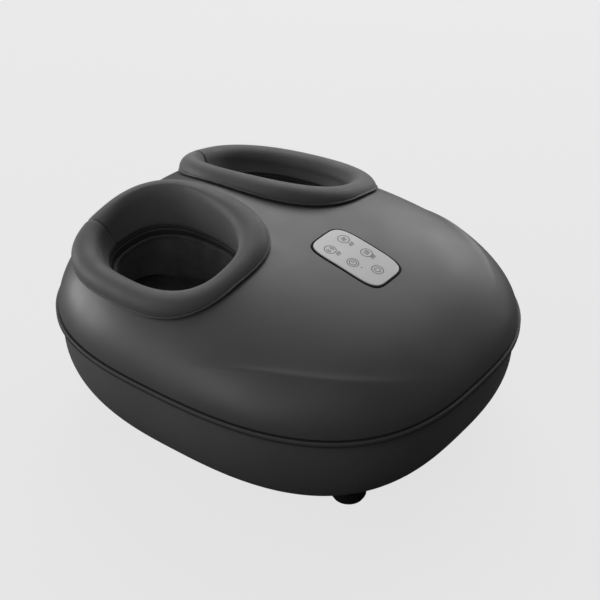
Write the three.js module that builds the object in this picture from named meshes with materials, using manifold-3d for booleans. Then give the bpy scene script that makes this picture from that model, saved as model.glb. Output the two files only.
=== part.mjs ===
// Foot massager in millimetres: +Z up, toes towards -Y, origin on the floor under the middle of the body.
import * as THREE from "three";
import { mergeVertices } from "three/addons/utils/BufferGeometryUtils.js";
import Module from "manifold-3d";

const wasm = await Module();
wasm.setup();

// Body: outline at the rim band, domed cover above the seam, tub below it
const bodyWidth = 380;
const bodyLength = 439;
const widestShare = 0.043;
const toeFullness = 2.74;
const heelFullness = 2.69;
const seamHeight = 118.5;
const domeHeight = 93;
const crownShare = 0.173;
const flankFullness = 2.165;
const crownFullness = 1.924;
const coverWall = 3;
const coverSetback = 3.5;
const partingGap = 0.8;
const tubWall = 3;
const tubUnderside = 9;
const tubTuck = 51;
const tubBulge = 6.2;
const tubFullness = 1.85;
const rimOverhang = 7;
const rimHeight = 7;
const rimRound = 2.4;
const tongueDepth = 5;
const tongueWidth = 1.8;
const ledgeHeight = 4;

// Clearances: between pieces at rest on each other, round turning pieces, and the overrun of a cut
const seatGap = 0.3;
const runGap = 0.4;
const cutOverrun = 8;

// Padded collars: place and tilt of the foot openings, outline and section
const collarXShare = 0.22;
const collarYShare = 0.1772;
const collarSink = 12.25;
const collarLean = 16.46;
const collarPitch = 4.96;
const collarTurn = -5.3;
const collarLength = 203.2;
const collarBreadth = 158;
const collarFullness = 2.52;
const collarWidth = 30.5;
const collarRise = 14;
const collarSag = 2.8;
const collarGap = 0.5;
const collarTaper = 3;
const slopeStart = 6;
const slopeDrop = 1.5;
const slopeTurn = 42;
const slopeFade = 1.5;
const skirtDepth = 20;
const skirtSlope = 0.165;
const skirtWidth = 10;
const hoopWidth = 9;
const hoopThickness = 4;
const throatDrop = 14;
const throatTaper = 5;

// Foot chambers: the lining that a foot goes into, and the tray and roof that hold it
const chamberXShare = 0.221;
const chamberToe = 176;
const chamberHeel = 164;
const chamberBreadth = 112;
const waistDrop = 2.5;
const soleDepth = 21;
const toeRoofShare = 0.19;
const heelRoofShare = -0.014;
const instepShare = 0.39;
const planFullness = 3.1;
const endFullness = 6;
const sectionFullness = 3.4;
const liningThickness = 1.6;
const liningEase = 0.25;
const liningDrop = 11;
const trayWall = 2.5;
const airbagRoom = 11;
const airbagY = -82;
const airbagLength = 110;
const airbagBreadth = 72;
const airbagFullness = 3;
const nozzleRadius = 3;
const nozzleHeight = 9;
const chamberTurn = 85;
const trayLegRadius = 6;

// Kneading drive of one foot: worm shaft, two worm wheels and the massage heads on them
const gearModule = 3;
const wheelTeeth = 20;
const wormPitchRadius = 9;
const toothOut = 2.6;
const toothIn = 3.2;
const toothThickness = 3.7;
const toothTip = 1.9;
const threadThickness = 3.6;
const threadFlank = 20;
const wheelFace = 12;
const wormTurns = 3;
const headSpacing = 112;
const drivesY = -10;
const driveHeight = 42;
const journalRadius = 4;
const spindleRadius = 6;
const headRadius = 45;
const headPlate = 5;
const hubRadius = 11;
const hubHeight = 13;
const knobRadius = 14;
const knobCircle = 29;
const knobCount = 3;
const knobCrown = 5;
const knobTipDrop = 1;
const knobShares = [0.85, 0.5];
const knobTurnShare = 0.25;
const motorRadius = 17.5;
const motorLength = 56;
const shaftGrip = 8;
const caseWall = 2.5;
const caseBottom = 16;
const caseFloor = 3;
const caseTop = 54.6;
const lidThickness = 3;
const lidMargin = 3;
const bearingRadius = 9;
const bearingLength = 14;
const caseClearance = 3.6;
const caseFullness = 5;
const headClearance = 3.4;
const knobGap = 0.6;
const knobRoom = 2;
const threadSink = 0.5;
const motorNeck = 6;
const ribThickness = 3;
const ribShares = [0.2, 0.8];

// Control panel in front of the crown
const panelLength = 82.5;
const panelBreadth = 47.2;
const panelY = -81;
const panelFullness = 4.6;
const panelSheet = 1.6;
const panelProud = 2;
const panelRim = 3.8;
const bezelWidth = 1.4;
const bezelTop = 1;
const panelSeat = 4;
const boardThickness = 1.6;
const wireSlotLength = 12;
const wireSlotWidth = 6;

// Rubber feet, screws and posts
const footRadius = 17;
const footTread = 12.5;
const footHeight = 14;
const footXShare = 0.2305;
const frontFootShare = -0.3144;
const rearFootShare = 0.2916;
const screwRadius = 2;
const screwHeadRadius = 3.8;
const screwHeadHeight = 2.6;
const screwReach = 12;
const footShoulder = 6;
const footScrewReach = 26;
const postRadius = 7;
const postDrop = 26.5;
const postSeat = 8;
const sidePostShares = [-0.137, 0.205];
const endPostShares = [-0.376, 0.39];

// Air supply, electronics and power socket
const pumpShare = 0.513;
const pumpStart = -48;
const pumpLength = 50;
const pumpNeck = 5;
const valveLength = 30;
const valveWidth = 24;
const valveHeight = 18;
const hoseRadius = 2.5;
const hoseBend = 15;
const hoseCrest = 12;
const hoseLaneShare = 0.56;
const hoseLowShares = [0, 0.35, 0.75];
const hoseHighShares = [0.6, 0.85, 1];
const hoseEndShare = 0.8;
const hoseSteps = 12;
const hoseSides = 6;
const standHeight = 22;
const mainBoardLength = 82;
const mainBoardShare = 0.69;
const mainBoardStartShare = 0.14;
const ribInset = 6;
const transformerSize = 20;
const transformerHeight = 16;
const capacitorRadius = 5;
const capacitorHeight = 15;
const relaySize = 10;
const relayHeight = 5;
const relayY = 28;
const socketRadius = 5.6;
const socketBore = 3.2;
const socketPin = 1;
const socketLength = 15;
const socketBoss = 10;
const socketFlange = 8;
const flangeThickness = 2;
const socketHeight = 62;
const socketRecess = 1.5;

// Numbers of facets
const bodySegments = 36;
const innerSegments = 22;
const domeSteps = 7;
const innerSteps = 3;
const tubSteps = 5;
const collarSegments = 26;
const sectionSteps = 3;
const chamberStations = 7;
const chamberSegments = 12;
const panelSegments = 20;
const roundSegments = 14;
const smallSegments = 8;
const wormSegments = 8;
const caseSegments = 20;
const rimSteps = 1;
const mergeTolerance = 0.03;

// Finishes
const finish = (color, roughness, metalness = 0) => new THREE.MeshStandardMaterial({ color, roughness, metalness });
const coverPlastic = finish(0x5c5c5e, 0.45);
const tubPlastic = finish(0x3a3a3b, 0.5);
const collarLeather = finish(0x3c3c3d, 0.6);
const liningCloth = finish(0x262627, 0.9);
const brushedMetal = finish(0xb4b4b2, 0.35, 1);
const blackPlastic = finish(0x151515, 0.5);
const blackRubber = finish(0x101010, 0.8);
const innerPlastic = finish(0xd8d6cf, 0.55);
const gearPlastic = finish(0xe8e4d6, 0.4);
const headPlastic = finish(0x47443f, 0.5);
const steel = finish(0x9a9c9e, 0.3, 1);
const boardGreen = finish(0x1d5a35, 0.5);
const airbagFilm = finish(0x6b6d70, 0.6);

// Small tools: solids from three.js geometry, and back
const degrees = Math.PI / 180;
const power = (value, exponent) => Math.sign(value) * Math.abs(value) ** exponent;
const vector = (x, y, z) => new THREE.Vector3(x, y, z);
const shift = (x, y, z) => new THREE.Matrix4().makeTranslation(x, y, z);
const turnX = (angle) => new THREE.Matrix4().makeRotationX(angle);
const turnY = (angle) => new THREE.Matrix4().makeRotationY(angle);
const turnZ = (angle) => new THREE.Matrix4().makeRotationZ(angle);
const lerp = THREE.MathUtils.lerp;
const halvings = 30;
const mirrored = (manifold) => manifold.mirror([1, 0, 0]);
const both = (spots) => spots.flatMap(([x, y]) => [[x, y], [-x, y]]);

function solid(geometry, matrix = new THREE.Matrix4()) {
  const bare = geometry.clone().applyMatrix4(matrix);
  for (const name of Object.keys(bare.attributes)) if (name !== "position") bare.deleteAttribute(name);
  const merged = mergeVertices(bare);
  const triVerts = new Uint32Array(merged.index.array);
  return new wasm.Manifold(
    new wasm.Mesh({ numProp: 3, vertProperties: merged.attributes.position.array, triVerts }),
  );
}

function geometryOf(manifold) {
  const { vertProperties, triVerts, numProp } = manifold.asOriginal().simplify(mergeTolerance).getMesh();
  const count = vertProperties.length / numProp;
  const positions = new Float32Array(3 * count);
  for (let i = 0; i < count; i += 1) {
    positions.set(vertProperties.subarray(i * numProp, i * numProp + 3), 3 * i);
  }
  return new THREE.BufferGeometry()
    .setAttribute("position", new THREE.BufferAttribute(positions, 3))
    .setIndex(new THREE.BufferAttribute(triVerts, 1));
}

// A closed skin through rings of equal count, listed so that each next ring lies on the left of its own direction
function loft(rings, closed = false) {
  const count = rings[0].length;
  const points = rings.flat();
  const faces = [];
  const spans = closed ? rings.length : rings.length - 1;
  for (let r = 0; r < spans; r += 1) {
    const low = r * count;
    const high = ((r + 1) % rings.length) * count;
    for (let i = 0; i < count; i += 1) {
      const j = (i + 1) % count;
      faces.push(low + i, low + j, high + j, low + i, high + j, high + i);
    }
  }
  if (!closed) {
    for (const [start, forward] of [[0, false], [points.length - count, true]]) {
      const middle = new THREE.Vector3();
      for (let i = 0; i < count; i += 1) middle.addScaledVector(points[start + i], 1 / count);
      const hub = points.push(middle) - 1;
      for (let i = 0; i < count; i += 1) {
        const [a, b] = [start + i, start + ((i + 1) % count)];
        faces.push(...(forward ? [a, b, hub] : [b, a, hub]));
      }
    }
  }
  return new THREE.BufferGeometry()
    .setAttribute("position", new THREE.Float32BufferAttribute(points.flatMap((p) => p.toArray()), 3))
    .setIndex(faces);
}

const box = (sx, sy, sz, x, y, z) => solid(new THREE.BoxGeometry(sx, sy, sz), shift(x, y, z));

// A round rod standing on z = bottom
function rod(radius, bottom, top, x = 0, y = 0, segments = smallSegments, topRadius = radius) {
  const geometry = new THREE.CylinderGeometry(topRadius, radius, top - bottom, segments);
  return solid(geometry, shift(x, y, (bottom + top) / 2).multiply(turnX(Math.PI / 2)));
}

// A round rod along Y
function axle(radius, start, end, x, z, segments = smallSegments) {
  const geometry = new THREE.CylinderGeometry(radius, radius, end - start, segments);
  return solid(geometry, shift(x, (start + end) / 2, z));
}

// A turned piece: the profile gives radius and height, and starts and ends on the axis
function turned(profile, x, y, segments = roundSegments) {
  const geometry = new THREE.LatheGeometry(profile.map(([r, z]) => new THREE.Vector2(r, z)), segments);
  return solid(geometry, shift(x, y, 0).multiply(turnX(Math.PI / 2)));
}

// Superellipse ring in any plane: middle, the two half axes with their directions, and a fullness
function ovalRing(middle, acrossAxis, alongAxis, across, along, fullness, count) {
  return Array.from({ length: count }, (_, i) => {
    const angle = (2 * Math.PI * i) / count;
    return middle
      .clone()
      .addScaledVector(acrossAxis, across * power(Math.cos(angle), 2 / fullness))
      .addScaledVector(alongAxis, along * power(Math.sin(angle), 2 / fullness));
  });
}

const unitX = vector(1, 0, 0);
const unitY = vector(0, 1, 0);
const unitZ = vector(0, 0, 1);

// A round hose along a curve, open ends closed flat
function tubeAlong(path, radius, steps, sides) {
  const frames = path.computeFrenetFrames(steps, false);
  const rings = Array.from({ length: steps + 1 }, (_, i) => {
    return ovalRing(path.getPointAt(i / steps), frames.normals[i], frames.binormals[i], radius, radius, 2, sides);
  });
  return loft(rings);
}

// Places that follow from the sizes above
const halfWidth = bodyWidth / 2;
const chamberX = chamberXShare * bodyWidth;
const chamberWaist = seamHeight - waistDrop;
const chamberFloor = chamberWaist - soleDepth;
const trayInside = seatGap + liningEase;
const trayOutside = trayInside + trayWall;
const chamberOutside = chamberBreadth / 2 + trayOutside;
const headYs = [drivesY - headSpacing / 2, drivesY + headSpacing / 2];
const wheelPitch = (gearModule * wheelTeeth) / 2;
const wormX = chamberX - wheelPitch - wormPitchRadius;
const caseInner = wormX - wormPitchRadius - toothOut - caseClearance;
const caseOuter = chamberX + wheelPitch + toothOut + caseClearance;
const caseMiddleX = (caseInner + caseOuter) / 2;
const caseReachX = (caseOuter - caseInner) / 2;
const caseMiddleY = drivesY;
const caseReachY = headSpacing / 2 + wheelPitch + toothOut + caseClearance;
const motorStart = caseMiddleY + caseReachY + caseWall + seatGap;
const headBottom = caseTop + lidThickness + headClearance;
const spindleBottom = caseBottom + 2 * caseFloor;
const spindleTop = headBottom + hubHeight / 2;
const screwShoulder = spindleTop + seatGap + caseFloor;
const pumpRadius = pumpShare * (caseInner - caseWall);
const pumpAxis = tubUnderside + tubWall + pumpRadius + ribThickness;
const mainBoardWidth = 2 * mainBoardShare * (wormX - motorRadius);
const mainBoardStart = mainBoardStartShare * bodyLength;
const hoseLane = hoseLaneShare * (chamberX - chamberOutside);
const footX = footXShare * bodyWidth;
const frontFootY = frontFootShare * bodyLength;
const rearFootY = rearFootShare * bodyLength;
const footBossTop = footHeight + seatGap + tubWall;
const footSpots = both([[footX, frontFootY], [footX, rearFootY]]);
const postMeet = seamHeight - postDrop;
const postX = (chamberX + chamberOutside + halfWidth - rimOverhang - tubWall) / 2;
const sidePosts = both(sidePostShares.map((share) => [postX, share * bodyLength]));
const postSpots = [...sidePosts, ...endPostShares.map((share) => [0, share * bodyLength])];

// Body outline: a superellipse that is widest a little behind the middle and longer towards the toes
const widestY = widestShare * bodyLength;
const toeReach = bodyLength / 2 + widestY;
const heelReach = bodyLength / 2 - widestY;
const crownY = crownShare * bodyLength;

function outlineRing(inset, z, count = bodySegments) {
  const scale = 1 - inset / halfWidth;
  return Array.from({ length: count }, (_, i) => {
    const angle = (2 * Math.PI * i) / count;
    const toes = Math.sin(angle) < 0;
    const fullness = toes ? toeFullness : heelFullness;
    const x = halfWidth * power(Math.cos(angle), 2 / fullness);
    const y = widestY + (toes ? toeReach : heelReach) * power(Math.sin(angle), 2 / fullness);
    return vector(scale * x, scale * y, z);
  });
}

function outlineSlab(inset, bottom, top, count = innerSegments) {
  return solid(loft([outlineRing(inset, bottom, count), outlineRing(inset, top, count)]));
}

// Domed cover: the outline is drawn in towards the crown while it climbs
function domeSolid(sink, bottom, count = bodySegments, steps = domeSteps) {
  const inset = coverSetback + sink;
  const rings = [outlineRing(inset, bottom, count)];
  for (let step = 0; step < steps; step += 1) {
    const climb = (step * Math.PI) / (2 * steps);
    const share = Math.cos(climb) ** (2 / flankFullness);
    const z = seamHeight + (domeHeight - sink) * Math.sin(climb) ** (2 / crownFullness);
    rings.push(outlineRing(inset, z, count).map((p) => vector(p.x * share, lerp(crownY, p.y, share), z)));
  }
  return solid(loft(rings));
}

// Height of the cover's outer skin over a place on the floor
function domeZ(x, y) {
  let low = 0;
  let high = 1;
  const scale = 1 - coverSetback / halfWidth;
  for (let i = 0; i < halvings; i += 1) {
    const share = (low + high) / 2;
    const reachY = (crownY + (y - crownY) / share) / scale - widestY;
    const across = Math.abs(x / share) / (scale * halfWidth);
    const fullness = reachY < 0 ? toeFullness : heelFullness;
    const along = Math.abs(reachY) / (reachY < 0 ? toeReach : heelReach);
    if (across ** fullness + along ** fullness > 1) low = share;
    else high = share;
  }
  return seamHeight + domeHeight * Math.max(0, 1 - high ** flankFullness) ** (1 / crownFullness);
}

// Frame of the right-hand collar: its middle and its up, along and across directions
const [lean, pitch, turn] = [collarLean, collarPitch, collarTurn].map((angle) => angle * degrees);
const collarUp = vector(Math.sin(lean), Math.sin(pitch), Math.cos(lean)).normalize();
const collarAlongFlat = vector(Math.sin(turn), Math.cos(turn), 0);
const collarAcrossFlat = collarAlongFlat.clone().cross(unitZ);
const collarAlong = collarAlongFlat.clone().addScaledVector(collarUp, -collarAlongFlat.dot(collarUp)).normalize();
const collarAcross = collarAlong.clone().cross(collarUp);
const collarX = collarXShare * bodyWidth;
const collarY = collarYShare * bodyLength;
const collarMiddle = vector(collarX, collarY, domeZ(collarX, collarY) - collarSink);

// Ring along the collar's outline, moved in by inset and up by rise
function collarRing(inset, rise, count = collarSegments) {
  const across = collarBreadth / 2 - inset;
  const along = collarLength / 2 - inset;
  const middle = collarMiddle.clone().addScaledVector(collarUp, rise);
  return ovalRing(middle, collarAcross, collarAlong, across, along, collarFullness, count);
}

function collarPlug(inset, low, high) {
  return solid(loft([collarRing(inset, low), collarRing(inset, high)]));
}

// Rise of the skirt's hem: lowest on the side of the body's middle, so that the hem lies nearly level
const hemRise = (point) => skirtSlope * point.clone().sub(collarMiddle).dot(collarAcross) - skirtDepth;

// Ring of the same outline, by a drop below the hem
function hemRing(inset, drop) {
  return collarRing(inset, 0).map((point) => point.addScaledVector(collarUp, hemRise(point) - drop));
}

function hemPlug(inset, low, high) {
  return solid(loft([hemRing(inset, low), hemRing(inset, high)]));
}

// How far the cover's skin lies above the collar plane, measured along the collar's up direction
function skinRise(point) {
  let low = -collarWidth;
  let high = collarWidth;
  for (let i = 0; i < halvings; i += 1) {
    const rise = (low + high) / 2;
    const place = point.clone().addScaledVector(collarUp, rise);
    if (place.z > domeZ(place.x, place.y)) high = rise;
    else low = rise;
  }
  return high;
}

// Padded collar: a stuffed tube that sags with the dome, flat where it lies on the cover, with a skirt inside.
// Inside, it is upright at the toes and slopes plainly from crest to hem between the body's middle and the heel.
const openingInset = collarWidth - skirtWidth - seatGap;

const sloped = (from, over, to, share) => lerp(lerp(from, over, share), lerp(over, to, share), share);

function collar() {
  const stations = collarRing(0, 0).map((_, i) => {
    const at = (inset, rise) => collarRing(inset, rise)[i];
    const skin = (inset) => skinRise(at(inset, 0)) + collarGap;
    const tubeRadius = (collarWidth - collarTaper) / 2;
    const tubeInset = (angle) => tubeRadius * (1 - Math.cos(angle));
    const along = at(collarWidth / 2, 0).sub(collarMiddle).dot(collarAlong);
    const sag = collarSag * ((2 * along) / collarLength) ** 2;
    const tubeRise = (angle) => collarRise * Math.sin(angle) - sag;
    let touch = -Math.PI / 2;
    let free = Math.PI / 2;
    for (let k = 0; k < halvings; k += 1) {
      const angle = (touch + free) / 2;
      if (tubeRise(angle) < skin(tubeInset(angle))) touch = angle;
      else free = angle;
    }
    const section = [];
    for (let step = 0; step < sectionSteps; step += 1) {
      const angle = lerp(free, Math.PI / 2, step / sectionSteps);
      section.push([tubeInset(angle), tubeRise(angle)]);
    }
    const hem = [collarWidth, hemRise(at(collarWidth, 0))];
    const crest = [tubeRadius, collarRise - sag];
    const bend = [tubeRadius + slopeStart, collarRise - sag - slopeDrop];
    const [outwards, heelwards] = [collarAcross, collarAlong].map((axis) => at(0, 0).sub(collarMiddle).dot(axis));
    const away = Math.atan2(heelwards, -outwards) - slopeTurn * degrees;
    const facing = Math.max(0, Math.cos(away)) ** slopeFade;
    for (let step = 0; step <= sectionSteps; step += 1) {
      const share = step / sectionSteps / 2;
      const angle = lerp(Math.PI / 2, Math.PI, step / sectionSteps);
      const round = [tubeInset(angle), tubeRise(angle)];
      section.push(round.map((value, k) => lerp(value, sloped(crest[k], bend[k], hem[k], share), facing)));
    }
    const skirtInset = collarWidth - skirtWidth;
    for (const inset of [collarWidth, skirtInset]) section.push([inset, hemRise(at(inset, 0))]);
    section.push([skirtInset, skin(skirtInset)]);
    const middle = (skirtInset + tubeInset(free)) / 2;
    section.push([middle, skin(middle)]);
    return section.map(([inset, rise]) => at(inset, rise));
  });
  return solid(loft(stations[0].map((_, step) => stations.map((section) => section[step])), true));
}

// Stiff ring under the collar's skirt; the lining's throat hangs in it
function collarHoop() {
  const ring = hemPlug(collarWidth - hoopWidth, seatGap + hoopThickness, seatGap);
  return ring.subtract(hemPlug(collarWidth, hoopThickness + cutOverrun, -cutOverrun));
}

const chamberMiddleY = (chamberHeel - chamberToe) / 2;
const chamberReach = (chamberHeel + chamberToe) / 2;

// Height of the lining's roof at a share of the way from heel to toe
function roofHeight(toeShare) {
  const rise = lerp(heelRoofShare, toeRoofShare, toeShare) + instepShare * Math.sin(Math.PI * toeShare);
  return lerp(chamberWaist, collarMiddle.z, rise);
}

// Foot chamber, moved outwards by grow; its upper half gets extra headroom over the instep and the toes
function chamberSolid(grow, headroom = 0) {
  const rings = [];
  for (let station = 0; station <= chamberStations; station += 1) {
    const share = Math.sin(lerp(-chamberTurn, chamberTurn, station / chamberStations) * degrees);
    const toeShare = (1 + share) / 2;
    const width = (chamberBreadth / 2 + grow) * (1 - Math.abs(share) ** planFullness) ** (1 / planFullness);
    const tall = (1 - Math.abs(share) ** endFullness) ** (1 / endFullness);
    const room = headroom * Math.min(1, 2 * toeShare);
    const up = tall * (roofHeight(toeShare) + grow + room - chamberWaist);
    const down = tall * (chamberWaist - chamberFloor + grow);
    const middle = vector(chamberX, chamberMiddleY - (chamberReach + grow) * share, chamberWaist);
    const ring = ovalRing(middle, unitX, unitZ, width, 1, sectionFullness, chamberSegments);
    for (const point of ring) {
      const height = point.z - chamberWaist;
      point.z = chamberWaist + height * (height > 0 ? up : down);
    }
    rings.push(ring);
  }
  return solid(loft(rings));
}

// Throat from below the hem down into the chamber, moved outwards by grow
function throatSolid(grow, drop) {
  const inset = collarWidth + seatGap - grow;
  const foot = vector(chamberX, collarY, chamberWaist);
  const across = collarBreadth / 2 - collarWidth - throatTaper + grow;
  const along = collarLength / 2 - collarWidth - throatTaper + grow;
  const ring = ovalRing(foot, collarAcrossFlat, collarAlongFlat, across, along, collarFullness, collarSegments);
  return solid(loft([ring, hemRing(inset, throatDrop), hemRing(inset, drop)]));
}

function lining() {
  const outside = chamberSolid(0).add(throatSolid(0, liningDrop));
  return outside.subtract(chamberSolid(-liningThickness)).subtract(throatSolid(-liningThickness, -cutOverrun));
}

const slab = (bottom, top) => outlineSlab(rimOverhang + tubWall + cutOverrun, bottom, top);
const headPort = knobCircle + knobRadius + knobRoom;

function footTray() {
  let shell = chamberSolid(trayOutside, airbagRoom).subtract(chamberSolid(trayInside, airbagRoom));
  shell = shell.intersect(slab(tubUnderside, chamberWaist - seatGap / 2));
  for (const y of headYs) {
    shell = shell.subtract(rod(headPort, tubUnderside, chamberWaist - cutOverrun, chamberX, y, roundSegments));
  }
  for (const y of [frontFootY, rearFootY]) {
    const leg = rod(trayLegRadius, footBossTop + seatGap, chamberWaist - cutOverrun, footX, y);
    const bore = rod(screwRadius + seatGap, 0, footShoulder + footScrewReach + seatGap, footX, y);
    shell = shell.add(leg.subtract(chamberSolid(trayInside, airbagRoom)).subtract(bore));
  }
  return shell;
}

const nozzleSpot = [chamberX - airbagBreadth / 4, airbagY + airbagLength / 4];
const nozzleShare = (1 + (chamberMiddleY - nozzleSpot[1]) / chamberReach) / 2;
const nozzleTop = roofHeight(nozzleShare) + airbagRoom + nozzleHeight;

function chamberRoof() {
  const above = (bottom) => slab(bottom, seamHeight + domeHeight);
  const shell = chamberSolid(trayOutside, airbagRoom).intersect(above(chamberWaist + seatGap / 2));
  const throat = throatSolid(trayOutside, seatGap + hoopThickness + seatGap);
  return shell
    .add(throat.intersect(above(chamberWaist + airbagRoom)))
    .subtract(chamberSolid(trayInside, airbagRoom))
    .subtract(throatSolid(trayInside, -cutOverrun))
    .subtract(rod(nozzleRadius + seatGap, chamberWaist, seamHeight + domeHeight, ...nozzleSpot));
}

function airbag() {
  const ring = (z) => {
    const middle = vector(chamberX, airbagY, z);
    return ovalRing(middle, unitX, unitY, airbagBreadth / 2, airbagLength / 2, airbagFullness, roundSegments);
  };
  const plan = solid(loft([ring(chamberWaist), ring(seamHeight + domeHeight)]));
  const pad = chamberSolid(trayInside - seatGap, airbagRoom).subtract(chamberSolid(seatGap)).intersect(plan);
  return pad.add(rod(nozzleRadius, nozzleTop - nozzleHeight - airbagRoom / 2, nozzleTop, ...nozzleSpot));
}

// Control panel: a frame that follows the skin, with its surfaces measured up from the skin's height
const panelEnds = [1, -1].map((end) => domeZ(0, panelY + (end * panelLength) / 2));
const panelSlope = Math.atan2(panelEnds[0] - panelEnds[1], panelLength);
const panelFrame = shift(0, panelY, domeZ(0, panelY)).multiply(turnX(panelSlope));
function panelSlab(grow, low, high) {
  const across = panelBreadth / 2 + grow;
  const along = panelLength / 2 + grow;
  const ring = (z) => ovalRing(vector(0, 0, z), unitX, unitY, across, along, panelFullness, panelSegments);
  return solid(loft([ring(low), ring(high)]), panelFrame);
}

function controlPlate() {
  const sheet = panelSlab(0, panelProud - panelRim, panelProud);
  return sheet.subtract(panelSlab(-panelSheet, panelProud - panelRim - cutOverrun, panelProud - panelSheet));
}

function controlFrame() {
  const low = seatGap - panelSeat;
  return panelSlab(bezelWidth, low, bezelTop).subtract(panelSlab(seatGap, low - cutOverrun, cutOverrun));
}

function controlBoard() {
  return panelSlab(-seatGap, seatGap - panelSeat, seatGap - panelSeat + boardThickness);
}

function upperHousing() {
  const inside = domeSolid(coverWall, seamHeight - cutOverrun, innerSegments, innerSteps);
  let cover = domeSolid(0, seamHeight + partingGap).subtract(inside);
  const tongueInset = rimOverhang + tubWall + seatGap;
  const ledge = outlineSlab(coverSetback + coverWall / 2, seamHeight + seatGap, seamHeight + ledgeHeight);
  const tongue = outlineSlab(tongueInset, seamHeight - tongueDepth, seamHeight + ledgeHeight);
  const hollow = outlineSlab(tongueInset + tongueWidth, seamHeight - cutOverrun, seamHeight + cutOverrun);
  cover = cover.add(ledge.add(tongue).subtract(hollow));
  const core = domeSolid(coverWall / 2, tubUnderside);
  const seat = panelSlab(bezelWidth + coverWall, -panelSeat - coverWall, -panelSeat / 2);
  cover = cover.add(seat);
  for (const [x, y] of postSpots) {
    const boss = rod(postRadius, postMeet + seatGap, seamHeight + domeHeight, x, y).intersect(core);
    cover = cover.add(boss).subtract(rod(screwRadius + seatGap, tubUnderside, postMeet + screwReach + postSeat, x, y));
  }
  cover = cover.subtract(panelSlab(bezelWidth + seatGap, -panelSeat, cutOverrun));
  const slotDepth = panelSeat + coverWall + cutOverrun;
  const slot = new THREE.BoxGeometry(wireSlotLength, wireSlotWidth, 2 * slotDepth);
  cover = cover.subtract(solid(slot, panelFrame));
  const plug = collarPlug(openingInset, -skirtDepth - cutOverrun, collarRise + cutOverrun);
  return cover.subtract(plug).subtract(mirrored(plug));
}

// Tub: rings from the underside up to the rim band
function tubProfile(wall) {
  const profile = [];
  const height = seamHeight - rimHeight - tubUnderside - wall;
  for (let step = tubSteps; step >= 0; step -= 1) {
    const depth = Math.sin((step * Math.PI) / (2 * tubSteps));
    const tuck = tubTuck * (1 - (1 - depth ** tubFullness) ** (1 / tubFullness));
    const inset = rimOverhang + wall + tuck - tubBulge * Math.sin(Math.PI * depth);
    profile.push([inset, seamHeight - rimHeight - height * depth]);
  }
  return profile;
}

function tubOutside() {
  const rim = [];
  for (const [turn, base] of [[0, seamHeight - rimHeight + rimRound], [1, seamHeight - rimRound]]) {
    for (let step = 0; step <= rimSteps; step += 1) {
      const angle = ((turn + step / rimSteps - 1) * Math.PI) / 2;
      rim.push([rimRound * (1 - Math.cos(angle)), base + rimRound * Math.sin(angle)]);
    }
  }
  return solid(loft([...tubProfile(0), ...rim].map(([inset, z]) => outlineRing(inset, z))));
}


// Power socket in the heel end of the tub
function tubInset(z) {
  const depth = (seamHeight - rimHeight - z) / (seamHeight - rimHeight - tubUnderside);
  const tuck = tubTuck * (1 - (1 - depth ** tubFullness) ** (1 / tubFullness));
  return rimOverhang + tuck - tubBulge * Math.sin(Math.PI * depth);
}
const socketFace = (1 - tubInset(socketHeight) / halfWidth) * (bodyLength / 2) - socketRecess;
const socketBossStart = socketFace - socketLength;

// A box standing on z = bottom
const block = (sx, sy, bottom, top, x, y) => box(sx, sy, top - bottom, x, y, (bottom + top) / 2);

// Two cradle ribs across a round body that lies along Y
function cradleRibs(radius, start, end, x, z) {
  const ribs = ribShares.map((share) => {
    return block(2 * (radius + ribThickness), ribThickness, tubUnderside, z - radius / 4, x, lerp(start, end, share));
  });
  return wasm.Manifold.union(ribs).subtract(axle(radius + seatGap, start, end, x, z, roundSegments));
}

function lowerHousing() {
  const outside = tubOutside();
  const inner = [...tubProfile(tubWall), [rimOverhang + tubWall, seamHeight + cutOverrun]];
  const walls = outside.subtract(solid(loft(inner.map(([inset, z]) => outlineRing(inset, z, innerSegments)))));
  const inside = [];
  const cuts = [];
  for (const [x, y] of footSpots) {
    inside.push(rod(footRadius + tubWall, tubUnderside, footBossTop, x, y));
    cuts.push(rod(footRadius + seatGap, 0, footHeight + seatGap, x, y, roundSegments));
    cuts.push(rod(screwRadius + seatGap, 0, footHeight + cutOverrun, x, y));
  }
  for (const [x, y] of postSpots) {
    inside.push(rod(postRadius, tubUnderside, postMeet, x, y));
    cuts.push(rod(screwHeadRadius + seatGap, 0, postMeet - postSeat, x, y));
    cuts.push(rod(screwRadius + seatGap, 0, postMeet + cutOverrun, x, y));
  }
  for (const y of headYs) {
    for (const side of [-1, 1]) {
      inside.push(block(caseReachX, ribThickness, tubUnderside, caseBottom - seatGap, side * caseMiddleX, y));
    }
  }
  for (const y of [mainBoardStart + ribInset, mainBoardStart + mainBoardLength - ribInset]) {
    inside.push(block(mainBoardWidth, ribThickness, tubUnderside, standHeight - seatGap, 0, y));
  }
  for (const side of [-1, 1]) {
    inside.push(cradleRibs(motorRadius, motorStart, motorStart + motorLength, side * wormX, driveHeight));
  }
  inside.push(cradleRibs(pumpRadius, pumpStart, pumpStart + pumpLength, 0, pumpAxis));
  inside.push(axle(socketBoss, socketBossStart, bodyLength / 2, 0, socketHeight, roundSegments));
  cuts.push(axle(socketRadius + seatGap, socketBossStart - cutOverrun, bodyLength / 2, 0, socketHeight));
  const trays = chamberSolid(trayOutside + seatGap, airbagRoom);
  return walls
    .add(wasm.Manifold.union(inside).intersect(outside))
    .subtract(trays)
    .subtract(mirrored(trays))
    .subtract(wasm.Manifold.union(cuts));
}

function rubberFoot(x, y) {
  const tread = rod(footTread, 0, tubUnderside, x, y, roundSegments, footRadius);
  return tread
    .add(rod(footRadius, tubUnderside, footHeight, x, y, roundSegments))
    .subtract(rod(screwHeadRadius + seatGap, 0, footShoulder, x, y))
    .subtract(rod(screwRadius + seatGap, 0, footHeight + cutOverrun, x, y));
}

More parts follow.
